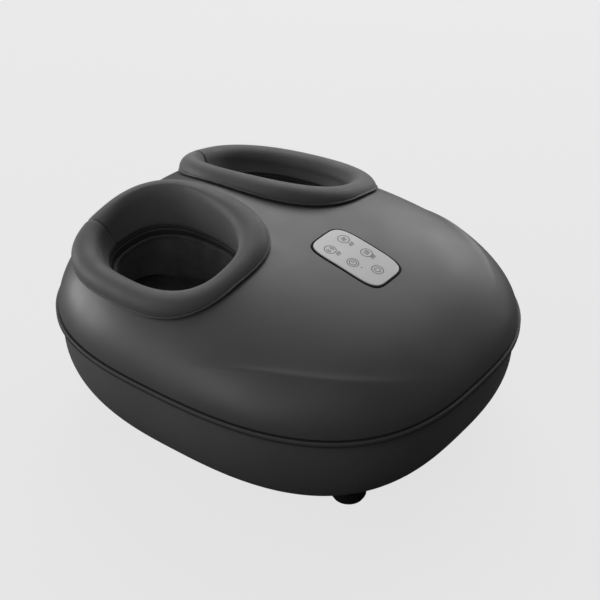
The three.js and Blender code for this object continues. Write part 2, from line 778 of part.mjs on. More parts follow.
// A screw whose head bears upwards against a shoulder
function screwUp(shoulder, reach, x, y) {
  const seat = shoulder - seatGap;
  const shank = rod(screwRadius, seat - screwHeadHeight / 2, seat + reach, x, y);
  return shank.add(rod(screwHeadRadius, seat - screwHeadHeight, seat, x, y));
}

// Kneading drive of the right foot
const shaftStart = caseMiddleY - caseReachY + runGap;
function threads(y, hand) {
  const lead = Math.PI * gearModule;
  const steps = wormTurns * wormSegments;
  const slope = Math.tan(threadFlank * degrees);
  const root = wormPitchRadius - toothIn - threadSink;
  const tip = wormPitchRadius + toothOut;
  const halfRoot = threadThickness / 2 + (toothIn + threadSink) * slope;
  const halfTip = threadThickness / 2 - toothOut * slope;
  const profile = [[root, -halfRoot], [tip, -halfTip], [tip, halfTip], [root, halfRoot]];
  const rings = Array.from({ length: steps + 1 }, (_, i) => {
    const turn = wormTurns * (i / steps - 1 / 2);
    const angle = 2 * Math.PI * turn;
    const middle = y + hand * lead * turn;
    return profile.map(([r, a]) => {
      return vector(wormX + r * Math.cos(angle), middle + hand * a, driveHeight + r * Math.sin(angle));
    });
  });
  if (hand < 0) for (const ring of rings) ring.reverse();
  const reach = (wormTurns * lead) / 2;
  const core = axle(wormPitchRadius - toothIn, y - reach, y + reach, wormX, driveHeight, wormSegments);
  return solid(loft(rings)).add(core);
}

function wormShaft() {
  const shaft = axle(journalRadius, shaftStart, motorStart + shaftGrip, wormX, driveHeight);
  return shaft.add(threads(headYs[0], 1)).add(threads(headYs[1], -1));
}

function wormWheel(y, hand) {
  const pitch = (gearModule * wheelTeeth) / 2;
  const step = (2 * Math.PI) / wheelTeeth;
  const slope = (toothThickness - toothTip) / toothOut;
  const halfRoot = (toothTip + slope * (toothOut + toothIn)) / 2;
  const lean = (Math.PI * gearModule) / (2 * Math.PI * wormPitchRadius);
  const ring = (z) => {
    const twist = (-hand * lean * (z - driveHeight)) / pitch;
    return Array.from({ length: wheelTeeth }, (_, i) => {
      const middle = (i + 1 / 2) * step + twist;
      const points = [[pitch - toothIn, -halfRoot], [pitch + toothOut, -toothTip / 2]];
      points.push([pitch + toothOut, toothTip / 2], [pitch - toothIn, halfRoot]);
      return points.map(([r, a]) => {
        return vector(chamberX + r * Math.cos(middle + a / r), y + r * Math.sin(middle + a / r), z);
      });
    }).flat();
  };
  const toothed = solid(loft([ring(driveHeight - wheelFace / 2), ring(driveHeight + wheelFace / 2)]));
  const spindle = rod(spindleRadius, spindleBottom, spindleTop, chamberX, y, roundSegments);
  const bore = rod(screwRadius + seatGap, spindleTop - screwReach, spindleTop + cutOverrun, chamberX, y);
  return toothed.add(spindle).subtract(bore);
}

function massageHead(y) {
  let head = rod(headRadius, headBottom, headBottom + headPlate, chamberX, y, roundSegments);
  head = head.add(rod(hubRadius, headBottom, headBottom + hubHeight, chamberX, y, roundSegments));
  const low = headBottom + headPlate / 2;
  const knobTop = chamberFloor - knobGap;
  const profile = [
    [0, low],
    [knobRadius, low],
    [knobRadius, headBottom + headPlate],
    [knobShares[0] * knobRadius, knobTop - knobCrown],
    [knobShares[1] * knobRadius, knobTop - knobTipDrop],
    [0, knobTop],
  ];
  for (let i = 0; i < knobCount; i += 1) {
    const angle = (2 * Math.PI * (i + knobTurnShare)) / knobCount;
    const x = chamberX + knobCircle * Math.cos(angle);
    head = head.add(turned(profile, x, y + knobCircle * Math.sin(angle), smallSegments));
  }
  const above = headBottom + hubHeight + cutOverrun;
  return head
    .subtract(rod(spindleRadius + seatGap, headBottom - cutOverrun, spindleTop + seatGap, chamberX, y, roundSegments))
    .subtract(rod(screwRadius + seatGap, headBottom, above, chamberX, y))
    .subtract(rod(screwHeadRadius + seatGap, screwShoulder, above, chamberX, y));
}

function headScrew(y) {
  const seat = screwShoulder + seatGap;
  const shank = rod(screwRadius, spindleTop - screwReach + seatGap, seat + screwHeadHeight / 2, chamberX, y);
  return shank.add(rod(screwHeadRadius, seat, seat + screwHeadHeight, chamberX, y));
}

function caseSlab(grow, bottom, top) {
  const ring = (z) => {
    const middle = vector(caseMiddleX, caseMiddleY, z);
    return ovalRing(middle, unitX, unitY, caseReachX + grow, caseReachY + grow, caseFullness, caseSegments);
  };
  return solid(loft([ring(bottom), ring(top)]));
}

function gearCase() {
  const top = caseTop - seatGap;
  const blocks = [shaftStart, motorStart - seatGap - bearingLength].map((start) => {
    const y = start + bearingLength / 2;
    return block(2 * bearingRadius, bearingLength, caseBottom, driveHeight + bearingRadius, wormX, y);
  });
  let shell = caseSlab(caseWall, caseBottom, top).subtract(caseSlab(0, caseBottom + caseFloor, caseTop));
  shell = shell.add(wasm.Manifold.union(blocks));
  for (const y of headYs) {
    shell = shell.add(rod(bearingRadius, caseBottom, driveHeight - wheelFace / 2 - runGap, chamberX, y));
    shell = shell.subtract(rod(spindleRadius + runGap, spindleBottom - runGap, caseTop, chamberX, y, roundSegments));
  }
  const bore = axle(journalRadius + runGap, shaftStart - runGap, motorStart + cutOverrun, wormX, driveHeight);
  return shell.subtract(bore);
}

function gearLid() {
  let lid = caseSlab(caseWall, caseTop, caseTop + lidThickness);
  lid = lid.add(caseSlab(-seatGap, caseTop - lidThickness, caseTop + lidThickness / 2));
  lid = lid.subtract(caseSlab(-lidThickness, caseTop - 2 * lidThickness, caseTop));
  for (const y of headYs) {
    lid = lid.subtract(rod(spindleRadius + runGap, caseBottom, headBottom, chamberX, y, roundSegments));
  }
  return lid;
}

function motor() {
  const can = axle(motorRadius, motorStart, motorStart + motorLength, wormX, driveHeight, roundSegments);
  const neck = axle(motorRadius / 2, motorStart, motorStart + motorLength + motorNeck, wormX, driveHeight);
  const bore = axle(journalRadius + runGap, motorStart - cutOverrun, motorStart + shaftGrip + runGap, wormX, driveHeight);
  return can.add(neck).subtract(bore);
}

// Air supply and electronics
function airPump() {
  const end = pumpStart + pumpLength;
  const can = axle(pumpRadius, pumpStart, end, 0, pumpAxis, roundSegments);
  return can.add(axle(pumpRadius / 3, end - pumpNeck, end + pumpNeck, 0, pumpAxis));
}

const valveStart = pumpStart + pumpLength + pumpNeck + seatGap;
const valveTop = tubUnderside + tubWall + seatGap + valveHeight;
function valveBlock() {
  const bottom = tubUnderside + tubWall + seatGap;
  let body = block(valveWidth, valveLength, bottom, valveTop, 0, valveStart + valveLength / 2);
  body = body.add(block(valveWidth / 2, valveLength / 2, bottom, pumpAxis + pumpNeck, 0, valveStart + valveLength / 4));
  return body;
}

function airHose() {
  const [x, y] = nozzleSpot;
  const start = vector(valveWidth / 4, valveStart + hoseEndShare * valveLength, valveTop + seatGap);
  const end = vector(x, y, nozzleTop + seatGap);
  const between = ([across, along, up], crest) => {
    return vector(lerp(hoseLane, x, across), lerp(start.y, y, along), lerp(start.z, end.z + crest, up));
  };
  const path = new THREE.CatmullRomCurve3([
    start,
    start.clone().setZ(start.z + hoseBend),
    between(hoseLowShares, 0),
    between(hoseHighShares, hoseCrest),
    end.clone().setZ(end.z + hoseBend / 2),
    end,
  ]);
  return solid(tubeAlong(path, hoseRadius, hoseSteps, hoseSides));
}

function mainBoard() {
  const y = mainBoardStart + mainBoardLength / 2;
  const top = standHeight + boardThickness;
  let board = block(mainBoardWidth, mainBoardLength, standHeight, top, 0, y);
  board = board.add(block(transformerSize, transformerSize, standHeight, top + transformerHeight, 0, y));
  const capacitorX = mainBoardWidth / 2 - 2 * capacitorRadius;
  for (const side of [-1, 1]) {
    const can = rod(capacitorRadius, standHeight, top + capacitorHeight, side * capacitorX, y + transformerSize);
    const relay = block(relaySize, relaySize, standHeight, top + relayHeight, (side * mainBoardWidth) / 4, y - relayY);
    board = board.add(can).add(relay);
  }
  return board;
}

function powerInlet() {
  const front = socketBossStart + socketLength;
  const back = socketBossStart - seatGap - flangeThickness;
  let body = axle(socketRadius, back, front, 0, socketHeight);
  body = body.add(axle(socketFlange, back, back + flangeThickness, 0, socketHeight));
  body = body.subtract(axle(socketBore, back + 2 * flangeThickness, front + cutOverrun, 0, socketHeight));
  return body.add(axle(socketPin, back + flangeThickness, front - flangeThickness, 0, socketHeight));
}

const group = new THREE.Group();
function place(name, manifold, material) {
  const mesh = new THREE.Mesh(geometryOf(manifold), material);
  mesh.name = name;
  group.add(mesh);
}

// A piece of the right foot, and its mirror image for the left foot
function placePair(name, manifold, material) {
  place(`${name}_right`, manifold, material);
  place(`${name}_left`, mirrored(manifold), material);
}

place("upper_housing", upperHousing(), coverPlastic);
place("lower_housing", lowerHousing(), tubPlastic);
place("control_plate", controlPlate(), brushedMetal);
place("control_frame", controlFrame(), blackPlastic);
place("control_board", controlBoard(), boardGreen);
placePair("collar", collar(), collarLeather);
placePair("collar_hoop", collarHoop(), blackPlastic);
placePair("lining", lining(), liningCloth);
placePair("foot_tray", footTray(), innerPlastic);
placePair("chamber_roof", chamberRoof(), blackPlastic);
placePair("airbag", airbag(), airbagFilm);
placePair("gear_case", gearCase(), innerPlastic);
placePair("gear_lid", gearLid(), innerPlastic);
placePair("worm_shaft", wormShaft(), gearPlastic);
placePair("motor", motor(), steel);
placePair("air_hose", airHose(), airbagFilm);
for (const [row, y] of [["front", headYs[0]], ["rear", headYs[1]]]) {
  const hand = row === "front" ? 1 : -1;
  placePair(`worm_wheel_${row}`, wormWheel(y, hand), gearPlastic);
  placePair(`massage_head_${row}`, massageHead(y), headPlastic);
  placePair(`head_screw_${row}`, headScrew(y), steel);
}
for (const [row, y] of [["front", frontFootY], ["rear", rearFootY]]) {
  placePair(`foot_${row}`, rubberFoot(footX, y), blackRubber);
  placePair(`foot_screw_${row}`, screwUp(footShoulder, footScrewReach, footX, y), steel);
}
postSpots.forEach(([x, y], i) => {
  place(`housing_screw_${i + 1}`, screwUp(postMeet - postSeat, postSeat + screwReach, x, y), steel);
});
place("air_pump", airPump(), blackPlastic);
place("valve_block", valveBlock(), blackPlastic);
place("main_board", mainBoard(), boardGreen);
place("power_inlet", powerInlet(), blackPlastic);

export default group;
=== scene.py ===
"""Foot massager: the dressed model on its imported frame, with floor, light and camera.

Lengths in the classes below are millimetres; every finished mesh is in metres.
"""

import logging
import math
from collections.abc import Callable, Sequence
from dataclasses import dataclass, field
from enum import Enum
from functools import cached_property

import bmesh
import bpy
import numpy as np
from mathutils import Matrix, Vector


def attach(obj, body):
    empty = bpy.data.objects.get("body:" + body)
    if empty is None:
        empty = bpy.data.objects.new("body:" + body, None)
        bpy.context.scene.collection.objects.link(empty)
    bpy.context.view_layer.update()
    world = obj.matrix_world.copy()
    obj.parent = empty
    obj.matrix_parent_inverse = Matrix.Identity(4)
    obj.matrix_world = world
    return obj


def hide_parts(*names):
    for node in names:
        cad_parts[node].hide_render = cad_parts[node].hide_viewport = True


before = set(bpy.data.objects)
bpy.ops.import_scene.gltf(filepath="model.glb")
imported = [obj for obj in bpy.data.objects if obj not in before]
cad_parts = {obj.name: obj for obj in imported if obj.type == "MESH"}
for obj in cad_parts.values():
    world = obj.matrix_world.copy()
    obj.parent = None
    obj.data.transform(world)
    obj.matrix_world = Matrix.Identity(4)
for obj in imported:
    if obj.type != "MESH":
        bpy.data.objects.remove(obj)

log = logging.getLogger("massager")
MM = 0.001
MERGE = 0.001
CREASE = 35.0
SKIN_STEPS = 34
RISE_STEPS = 24
NOISE_RANGE = (0.3, 0.7)

BMesh = bmesh.types.BMesh
Node = bpy.types.Node
Piece = bpy.types.Object
Socket = bpy.types.NodeSocket
Pair = tuple[float, float]
Triple = tuple[float, float, float]
Line = Sequence[tuple[float | None, float]]
Number = float | np.ndarray
Inputs = dict[str | int, Socket | float | Sequence[float]]


class Side(Enum):
    """Foot that a piece belongs to; the value is the sign of its X."""

    RIGHT = 1
    LEFT = -1

    @property
    def word(self) -> str:
        """Word that ends the names of the pieces on this side."""
        return self.name.lower()


class Carving(Enum):
    """What a tool body does to the piece it meets."""

    CUT = "DIFFERENCE"
    ADD = "UNION"
    KEEP = "INTERSECT"


def tidy(mesh: BMesh) -> None:
    """Joins the doubles of a mesh and turns its faces outwards.

    Args:
        mesh: the mesh.
    """
    bmesh.ops.remove_doubles(mesh, verts=mesh.verts, dist=MERGE)
    bmesh.ops.dissolve_degenerate(mesh, edges=mesh.edges, dist=MERGE / 2)
    bmesh.ops.recalc_face_normals(mesh, faces=mesh.faces)


def mapped_grid(columns: int, rows: int, place: Callable[[int, int], Vector]) -> BMesh:
    """Creates a grid and moves each of its points to its place.

    Args:
        columns: number of faces along the first direction.
        rows: number of faces along the second direction.
        place: gives a point for a column and a row.

    Returns:
        The mesh, with meeting points joined and its faces pointing outwards.
    """
    mesh = bmesh.new()
    bmesh.ops.create_grid(mesh, x_segments=columns, y_segments=rows, size=0.5)
    for vert in mesh.verts:
        vert.co = place(round((vert.co.x + 0.5) * columns), round((vert.co.y + 0.5) * rows))
    tidy(mesh)
    return mesh


def carried(line: Line, columns: int, point: Callable[..., Vector], closed: bool = False) -> BMesh:
    """Carries a section round an outline.

    Args:
        line: the section, as pairs of inset and height.
        columns: number of faces round the outline.
        point: gives the place for a share of the way round, an inset and a height.
        closed: whether the section's end joins its start.

    Returns:
        The mesh.
    """
    rows = len(line) if closed else len(line) - 1
    return mapped_grid(
        columns, rows, lambda column, row: point(column % columns / columns, *line[row % len(line)])
    )


def bow(middle: Pair, radii: Pair, start: float, step: float, count: int) -> list[Pair]:
    """Points on a bow of a section.

    Args:
        middle: inset and height of the bow's middle.
        radii: radius each way, negative where the bow is turned over.
        start: angle of the first point in degrees.
        step: angle from one point to the next in degrees.
        count: number of points.

    Returns:
        Their insets and heights.
    """
    angles = [math.radians(start + step * index) for index in range(count)]
    return [
        (middle[0] + radii[0] * math.cos(angle), middle[1] + radii[1] * math.sin(angle)) for angle in angles
    ]


def oval(turn: float, half: float, reach: float, fullness: float) -> Pair:
    """Point of a superellipse.

    Args:
        turn: share of the way round, from the first axis to the second.
        half: half of the first axis.
        reach: half of the second axis.
        fullness: its exponent; 2 gives an ellipse.

    Returns:
        The point's two coordinates.
    """
    across, along = math.cos(math.tau * turn), math.sin(math.tau * turn)
    radius = (abs(across / half) ** fullness + abs(along / reach) ** fullness) ** (-1 / fullness)
    return radius * across, radius * along


def signed_power(value: Number, power: float) -> Number:
    """A value raised to a power with its sign kept."""
    return np.sign(value) * np.abs(value) ** power


def mirrored(mesh: BMesh, side: Side) -> BMesh:
    """Moves a right-hand mesh to its side of the body.

    Args:
        mesh: the mesh.
        side: side that the piece belongs to.

    Returns:
        The same mesh.
    """
    if side is Side.LEFT:
        bmesh.ops.scale(mesh, vec=(-1, 1, 1), verts=mesh.verts)
        bmesh.ops.reverse_faces(mesh, faces=mesh.faces)
    return mesh


def joined(meshes: Sequence[BMesh]) -> BMesh:
    """Gathers several meshes in the first one.

    Args:
        meshes: the meshes; all but the first are freed.

    Returns:
        The first mesh.
    """
    whole = meshes[0]
    for part in meshes[1:]:
        data = bpy.data.meshes.new("part")
        part.to_mesh(data)
        whole.from_mesh(data)
        bpy.data.meshes.remove(data)
        part.free()
    return whole


def smooth(data: bpy.types.Mesh, crease: float) -> None:
    """Shades a mesh smooth but for the edges above an angle in degrees."""
    data.shade_smooth()
    data.set_sharp_from_angle(angle=math.radians(crease))


def made_object(mesh: BMesh, name: str, crease: float = CREASE) -> Piece:
    """Turns a mesh in millimetres into an object in metres.

    Args:
        mesh: the mesh, freed afterwards.
        name: name of the piece.
        crease: angle in degrees above which an edge stays sharp.

    Returns:
        The object, linked to the scene.
    """
    bmesh.ops.scale(mesh, vec=(MM, MM, MM), verts=mesh.verts)
    data = bpy.data.meshes.new(name)
    mesh.to_mesh(data)
    mesh.free()
    smooth(data, crease)
    piece = bpy.data.objects.new(name, data)
    bpy.context.scene.collection.objects.link(piece)
    return piece


def discard(piece: Piece) -> None:
    """Removes an object and its mesh.

    Args:
        piece: the object.
    """
    data = piece.data
    bpy.data.objects.remove(piece)
    bpy.data.meshes.remove(data)


def carve(piece: Piece, tool: BMesh, how: Carving) -> None:
    """Adds a tool body to a piece or cuts it out, and keeps the result as the piece's mesh.

    Args:
        piece: the piece.
        tool: the tool body, used up.
        how: what the tool body does.
    """
    helper = made_object(tool, "carving_tool")
    change = piece.modifiers.new("carving", "BOOLEAN")
    change.operation = how.value
    change.solver = "EXACT"
    change.object = helper
    shown = piece.evaluated_get(bpy.context.evaluated_depsgraph_get())
    data = bpy.data.meshes.new_from_object(shown)
    piece.modifiers.clear()
    old, piece.data = piece.data, data
    data.name = piece.name
    smooth(data, CREASE)
    bpy.data.meshes.remove(old)
    discard(helper)


def taken(piece: Piece) -> BMesh:
    """Takes a piece apart again.

    Args:
        piece: the object, removed afterwards.

    Returns:
        Its mesh in millimetres.
    """
    mesh = bmesh.new()
    mesh.from_mesh(piece.data)
    bmesh.ops.scale(mesh, vec=(1 / MM,) * 3, verts=mesh.verts)
    tidy(mesh)
    discard(piece)
    return mesh


def rod(radius: float, low: Triple, high: Triple, segments: int = 48) -> BMesh:
    """Makes a closed round rod.

    Args:
        radius: its radius.
        low: middle of one end.
        high: middle of the other end.
        segments: number of faces round it.

    Returns:
        The mesh.
    """
    mesh = bmesh.new()
    start, axis = Vector(low), Vector(high) - Vector(low)
    place = Matrix.Translation(start + axis / 2) @ axis.to_track_quat("Z", "Y").to_matrix().to_4x4()
    bmesh.ops.create_cone(
        mesh, cap_ends=True, segments=segments, radius1=radius, radius2=radius, depth=axis.length,
        matrix=place,
    )
    return mesh


def spun(profile: Sequence[Pair], place: Triple, segments: int) -> BMesh:
    """Turns an outline about the vertical through a place.

    Args:
        profile: radii and heights of the outline.
        place: where the axis stands.
        segments: number of faces round it.

    Returns:
        The mesh.
    """
    mesh = bmesh.new()
    verts = [mesh.verts.new((radius, 0, height)) for radius, height in profile]
    edges = [mesh.edges.new(pair) for pair in zip(verts, verts[1:])]
    bmesh.ops.spin(
        mesh, geom=verts + edges, cent=(0, 0, 0), axis=(0, 0, 1), angle=math.tau, steps=segments,
        use_merge=True,
    )
    tidy(mesh)
    bmesh.ops.translate(mesh, vec=place, verts=mesh.verts)
    return mesh


def wired(tree: bpy.types.NodeTree, node: Node, inputs: Inputs) -> Node:
    """Fills inputs of a node.

    Args:
        tree: node tree that the node stands in.
        node: the node.
        inputs: a value, or the output that feeds it, for an input's name or number.

    Returns:
        The same node.
    """
    for key, value in inputs.items():
        if isinstance(value, Socket):
            tree.links.new(value, node.inputs[key])
        else:
            node.inputs[key].default_value = value
    return node


def added(tree: bpy.types.NodeTree, kind: str, inputs: Inputs, **settings: str) -> Node:
    """Adds a node.

    Args:
        tree: node tree that it joins.
        kind: its type, without the leading ShaderNode.
        inputs: what fills its inputs.
        settings: its settings by name.

    Returns:
        The node.
    """
    node = tree.nodes.new(f"ShaderNode{kind}")
    for key, value in settings.items():
        setattr(node, key, value)
    return wired(tree, node, inputs)


class Brush:
    """Small builder for the node tree of one material."""

    def __init__(self, name: str) -> None:
        """Starts a material with its shader and object coordinates.

        Args:
            name: name of the material.
        """
        self.material = bpy.data.materials.new(name)
        self.material.use_nodes = True
        self.tree = self.material.node_tree
        self.shader = self.tree.nodes["Principled BSDF"]
        self.coords = added(self.tree, "TexCoord", {}).outputs["Object"]

    def shade(self, inputs: Inputs) -> None:
        """Fills inputs of the shader."""
        wired(self.tree, self.shader, inputs)

    def stretched(self, scale: Triple, turn: Triple = (0, 0, 0)) -> Socket:
        """Object coordinates turned and scaled."""
        return added(
            self.tree, "Mapping", {"Scale": scale, "Rotation": turn, "Vector": self.coords}
        ).outputs[0]

    def noise(self, scale: float, detail: float = 3.0, vector: Socket | None = None) -> Socket:
        """Soft noise from 0 to 1; scale is in waves per metre."""
        inputs = {"Scale": scale, "Detail": detail, "Vector": vector or self.coords}
        return added(self.tree, "TexNoise", inputs).outputs["Fac"]

    def cells(self, scale: float, vector: Socket | None = None) -> Socket:
        """Distance to the middle of the nearest cell."""
        inputs = {"Scale": scale, "Smoothness": 0.35, "Vector": vector or self.coords}
        return added(self.tree, "TexVoronoi", inputs, feature="SMOOTH_F1").outputs["Distance"]

    def waves(self, scale: float, direction: str, distortion: float) -> Socket:
        """Bands along one object axis."""
        inputs = {"Scale": scale, "Distortion": distortion, "Vector": self.coords}
        return added(self.tree, "TexWave", inputs, bands_direction=direction).outputs["Fac"]

    def sum(self, first: Socket, second: Socket, share: float) -> Socket:
        """First value plus a share of the second."""
        return added(self.tree, "Math", {0: second, 1: share, 2: first}, operation="MULTIPLY_ADD").outputs[0]

    def roughened(self, value: Socket, middle: float, spread: float) -> None:
        """Varies the roughness.

        Args:
            value: noise that it follows.
            middle: the roughness in the middle.
            spread: how far it goes either way.
        """
        inputs = {"Value": value, "From Min": NOISE_RANGE[0], "From Max": NOISE_RANGE[1]}
        inputs |= {"To Min": middle - spread, "To Max": middle + spread}
        self.shade({"Roughness": added(self.tree, "MapRange", inputs).outputs["Result"]})

    def tinted(self, value: Socket, color: Triple, spread: float) -> None:
        """Varies the base colour.

        Args:
            value: noise that it follows.
            color: the colour in the middle.
            spread: share of it that is added or taken away.
        """
        node = added(self.tree, "ValToRGB", {"Fac": value})
        for stop, place, gain in zip(node.color_ramp.elements, NOISE_RANGE, (1 - spread, 1 + spread)):
            stop.position = place
            stop.color = (*(gain * part for part in color), 1)
        self.shade({"Base Color": node.outputs["Color"]})

    def bumped(self, height: Socket, depth: float) -> None:
        """Raises the surface by a height pattern of a depth in millimetres."""
        inputs = {"Strength": 1.0, "Distance": depth * MM, "Height": height}
        self.shade({"Normal": added(self.tree, "Bump", inputs).outputs["Normal"]})


@dataclass(frozen=True)
class Finish:
    """What every finish shares: a name, a linear base colour and a roughness."""

    name: str
    color: Triple
    roughness: float

    @cached_property
    def material(self) -> bpy.types.Material:
        """The finished material.

        Returns:
            The material, painted when it is first asked for.
        """
        brush = Brush(self.name)
        brush.shade({"Roughness": self.roughness, "Base Color": (*self.color, 1)})
        self.paint(brush)
        return brush.material

    def paint(self, brush: Brush) -> None:
        """Adds what sets the finish apart."""
        raise NotImplementedError


@dataclass(frozen=True)
class MouldedPlastic(Finish):
    """Injection moulded plastic with a fine spark-eroded grain."""

    grain: float = 1500.0
    depth: float = 0.012
    spread: float = 0.05
    specular: float = 0.4

    def paint(self, brush: Brush) -> None:
        """Adds soft clouds of colour, faint upright streaks and the grain.

        Args:
            brush: builder of the material.
        """
        brush.shade({"Specular IOR Level": self.specular})
        brush.tinted(brush.noise(14, 4), self.color, self.spread)
        brush.roughened(brush.noise(30, 3, brush.stretched((1, 1, 0.35))), self.roughness, 0.035)
        brush.bumped(brush.sum(brush.noise(self.grain, 2), brush.noise(self.grain / 5, 2), 0.6), self.depth)


@dataclass(frozen=True)
class Leather(Finish):
    """Soft synthetic leather with fine pebbled cells."""

    cell: float = 1.3
    depth: float = 0.11

    def paint(self, brush: Brush) -> None:
        """Adds warped pebbles, with a soft sheen over them.

        Args:
            brush: builder of the material.
        """
        warp = brush.noise(160, 2)
        pebbles = brush.cells(1 / (self.cell * MM))
        brush.tinted(brush.sum(brush.noise(22, 4), pebbles, 0.15), self.color, 0.12)
        brush.roughened(brush.noise(40, 3), self.roughness, 0.05)
        brush.bumped(brush.sum(brush.sum(pebbles, warp, 0.8), brush.noise(2600, 2), 0.25), self.depth)
        brush.shade({"Sheen Weight": 0.3, "Sheen Roughness": 0.4})


@dataclass(frozen=True)
class KnittedCloth(Finish):
    """Close-knit cloth: fine ribs one way and loops across them."""

    pitch: float = 0.9
    depth: float = 0.06

    def paint(self, brush: Brush) -> None:
        """Adds the knit along all three axes, with a soft sheen over it.

        Args:
            brush: builder of the material.
        """
        scale = 1 / (self.pitch * MM) / 3
        ribs = brush.sum(brush.waves(scale, "X", 0.6), brush.waves(scale, "Y", 0.6), 0.7)
        knit = brush.sum(ribs, brush.waves(scale * 1.4, "Z", 0.8), 0.7)
        brush.tinted(brush.noise(60, 4), self.color, 0.22)
        brush.bumped(brush.sum(knit, brush.noise(900, 3), 0.5), self.depth)
        brush.shade({"Sheen Weight": 0.3, "Sheen Roughness": 0.5})


@dataclass(frozen=True)
class SatinMetal(Finish):
    """Metal with a fine brushed grain along one direction."""

    stretch: Triple = (1, 0.03, 1)
    depth: float = 0.004
    grain: float = 2400.0
    metallic: float = 1.0

    def paint(self, brush: Brush) -> None:
        """Adds the brushed lines.

        Args:
            brush: builder of the material.
        """
        brush.shade({"Metallic": self.metallic})
        lines = brush.noise(self.grain, 3, brush.stretched(self.stretch))
        brush.tinted(brush.sum(lines, brush.noise(25, 3), 0.5), self.color, 0.05)
        brush.roughened(lines, self.roughness, 0.06)
        brush.bumped(lines, self.depth)


@dataclass(frozen=True)
class Rubber(Finish):
    """Dull black rubber with a dusty, uneven skin."""

    def paint(self, brush: Brush) -> None:
        """Adds the dust and the uneven skin.

        Args:
            brush: builder of the material.
        """
        brush.shade({"Specular IOR Level": 0.3})
        brush.tinted(brush.noise(120, 5), self.color, 0.35)
        brush.bumped(brush.sum(brush.noise(700, 3), brush.cells(900), 0.4), 0.06)


@dataclass(frozen=True)
class CircuitBoard(Finish):
    """Lacquered board with copper tracks showing through."""

    def paint(self, brush: Brush) -> None:
        """Adds the tracks and the lacquer.

        Args:
            brush: builder of the material.
        """
        tracks = brush.cells(220, brush.stretched((1, 0.4, 1)))
        brush.tinted(brush.sum(tracks, brush.noise(60, 2), 0.3), self.color, 0.4)
        brush.bumped(tracks, 0.05)
        brush.shade({"Coat Weight": 0.6, "Coat Roughness": 0.2})


@dataclass(frozen=True)
class Film(Finish):
    """Welded film of the air bags and hoses, with soft creases."""

    def paint(self, brush: Brush) -> None:
        """Adds the creases.

        Args:
            brush: builder of the material.
        """
        creases = brush.noise(45, 5, brush.stretched((1, 0.5, 1)))
        brush.tinted(creases, self.color, 0.15)
        brush.bumped(brush.sum(creases, brush.noise(500, 2), 0.2), 0.8)


def linear(level: float) -> float:
    """Linear value of a level on the usual 0 to 255 scale."""
    share = level / 255
    return ((share + 0.055) / 1.055) ** 2.4 if share > 0.04 else share / 12.92


def sheen_grey(level: float, warm: float = 0.0) -> Triple:
    """Linear colour of a grey on the 0 to 255 scale, a little warm where asked."""
    return linear(level + warm), linear(level), linear(level - warm)


COVER_PLASTIC = MouldedPlastic("cover_plastic", sheen_grey(81), 0.43, specular=0.65)
TUB_PLASTIC = MouldedPlastic("tub_plastic", sheen_grey(92), 0.5, specular=0.35)
COLLAR_LEATHER = Leather("collar_leather", sheen_grey(85), 0.6)
LINING_CLOTH = KnittedCloth("lining_cloth", sheen_grey(78), 0.9)
# Touch plate: half real brushed metal, half a light grey diffuse skin that is painted reflection, so the
# plate stays bright from every side.
PLATE_METAL_AND_PAINTED_REFLECTION = SatinMetal("plate_metal_and_painted_reflection", sheen_grey(172), 0.45, metallic=0.5)
PRINT_INK = MouldedPlastic("print_ink", sheen_grey(100), 0.6, depth=0.004, specular=0.2)
FRAME_PLASTIC = MouldedPlastic("frame_plastic", sheen_grey(10), 0.6, specular=0.15)
DARK_PLASTIC = MouldedPlastic("dark_plastic", sheen_grey(26), 0.45)
FOOT_RUBBER = Rubber("foot_rubber", sheen_grey(24), 0.78)
PALE_PLASTIC = MouldedPlastic("pale_plastic", sheen_grey(205, 4), 0.5)
GEAR_PLASTIC = MouldedPlastic("gear_plastic", sheen_grey(222, 6), 0.38, grain=900)
HOOP_PLASTIC = MouldedPlastic("hoop_plastic", sheen_grey(58), 0.6)
HEAD_PLASTIC = MouldedPlastic("head_plastic", sheen_grey(72, 4), 0.48, grain=1100)
SCREW_STEEL = SatinMetal("screw_steel", sheen_grey(190), 0.3, stretch=(1, 1, 0.1))
MOTOR_STEEL = SatinMetal("motor_steel", sheen_grey(165), 0.34, stretch=(1, 0.05, 1))
BOARD_LACQUER = CircuitBoard("board_lacquer", (0.02, 0.11, 0.045), 0.4)
BAG_FILM = Film("bag_film", sheen_grey(108), 0.5)


def dress(piece: Piece, finish: Finish) -> None:
    """Gives a piece one finish all over."""
    piece.data.materials.clear()
    piece.data.materials.append(finish.material)


def mount(piece: Piece, finish: Finish, slot: str, *replaced: str) -> None:
    """Dresses a finished piece and puts it on the housing.

    Args:
        piece: the piece.
        finish: its finish.
        slot: material slot that it belongs to; not used.
        replaced: nodes that it stands for.
    """
    dress(piece, finish)
    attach(piece, "housing")
    if replaced:
        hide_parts(*replaced)
    log.info("%s: %d faces", piece.name, len(piece.data.polygons))


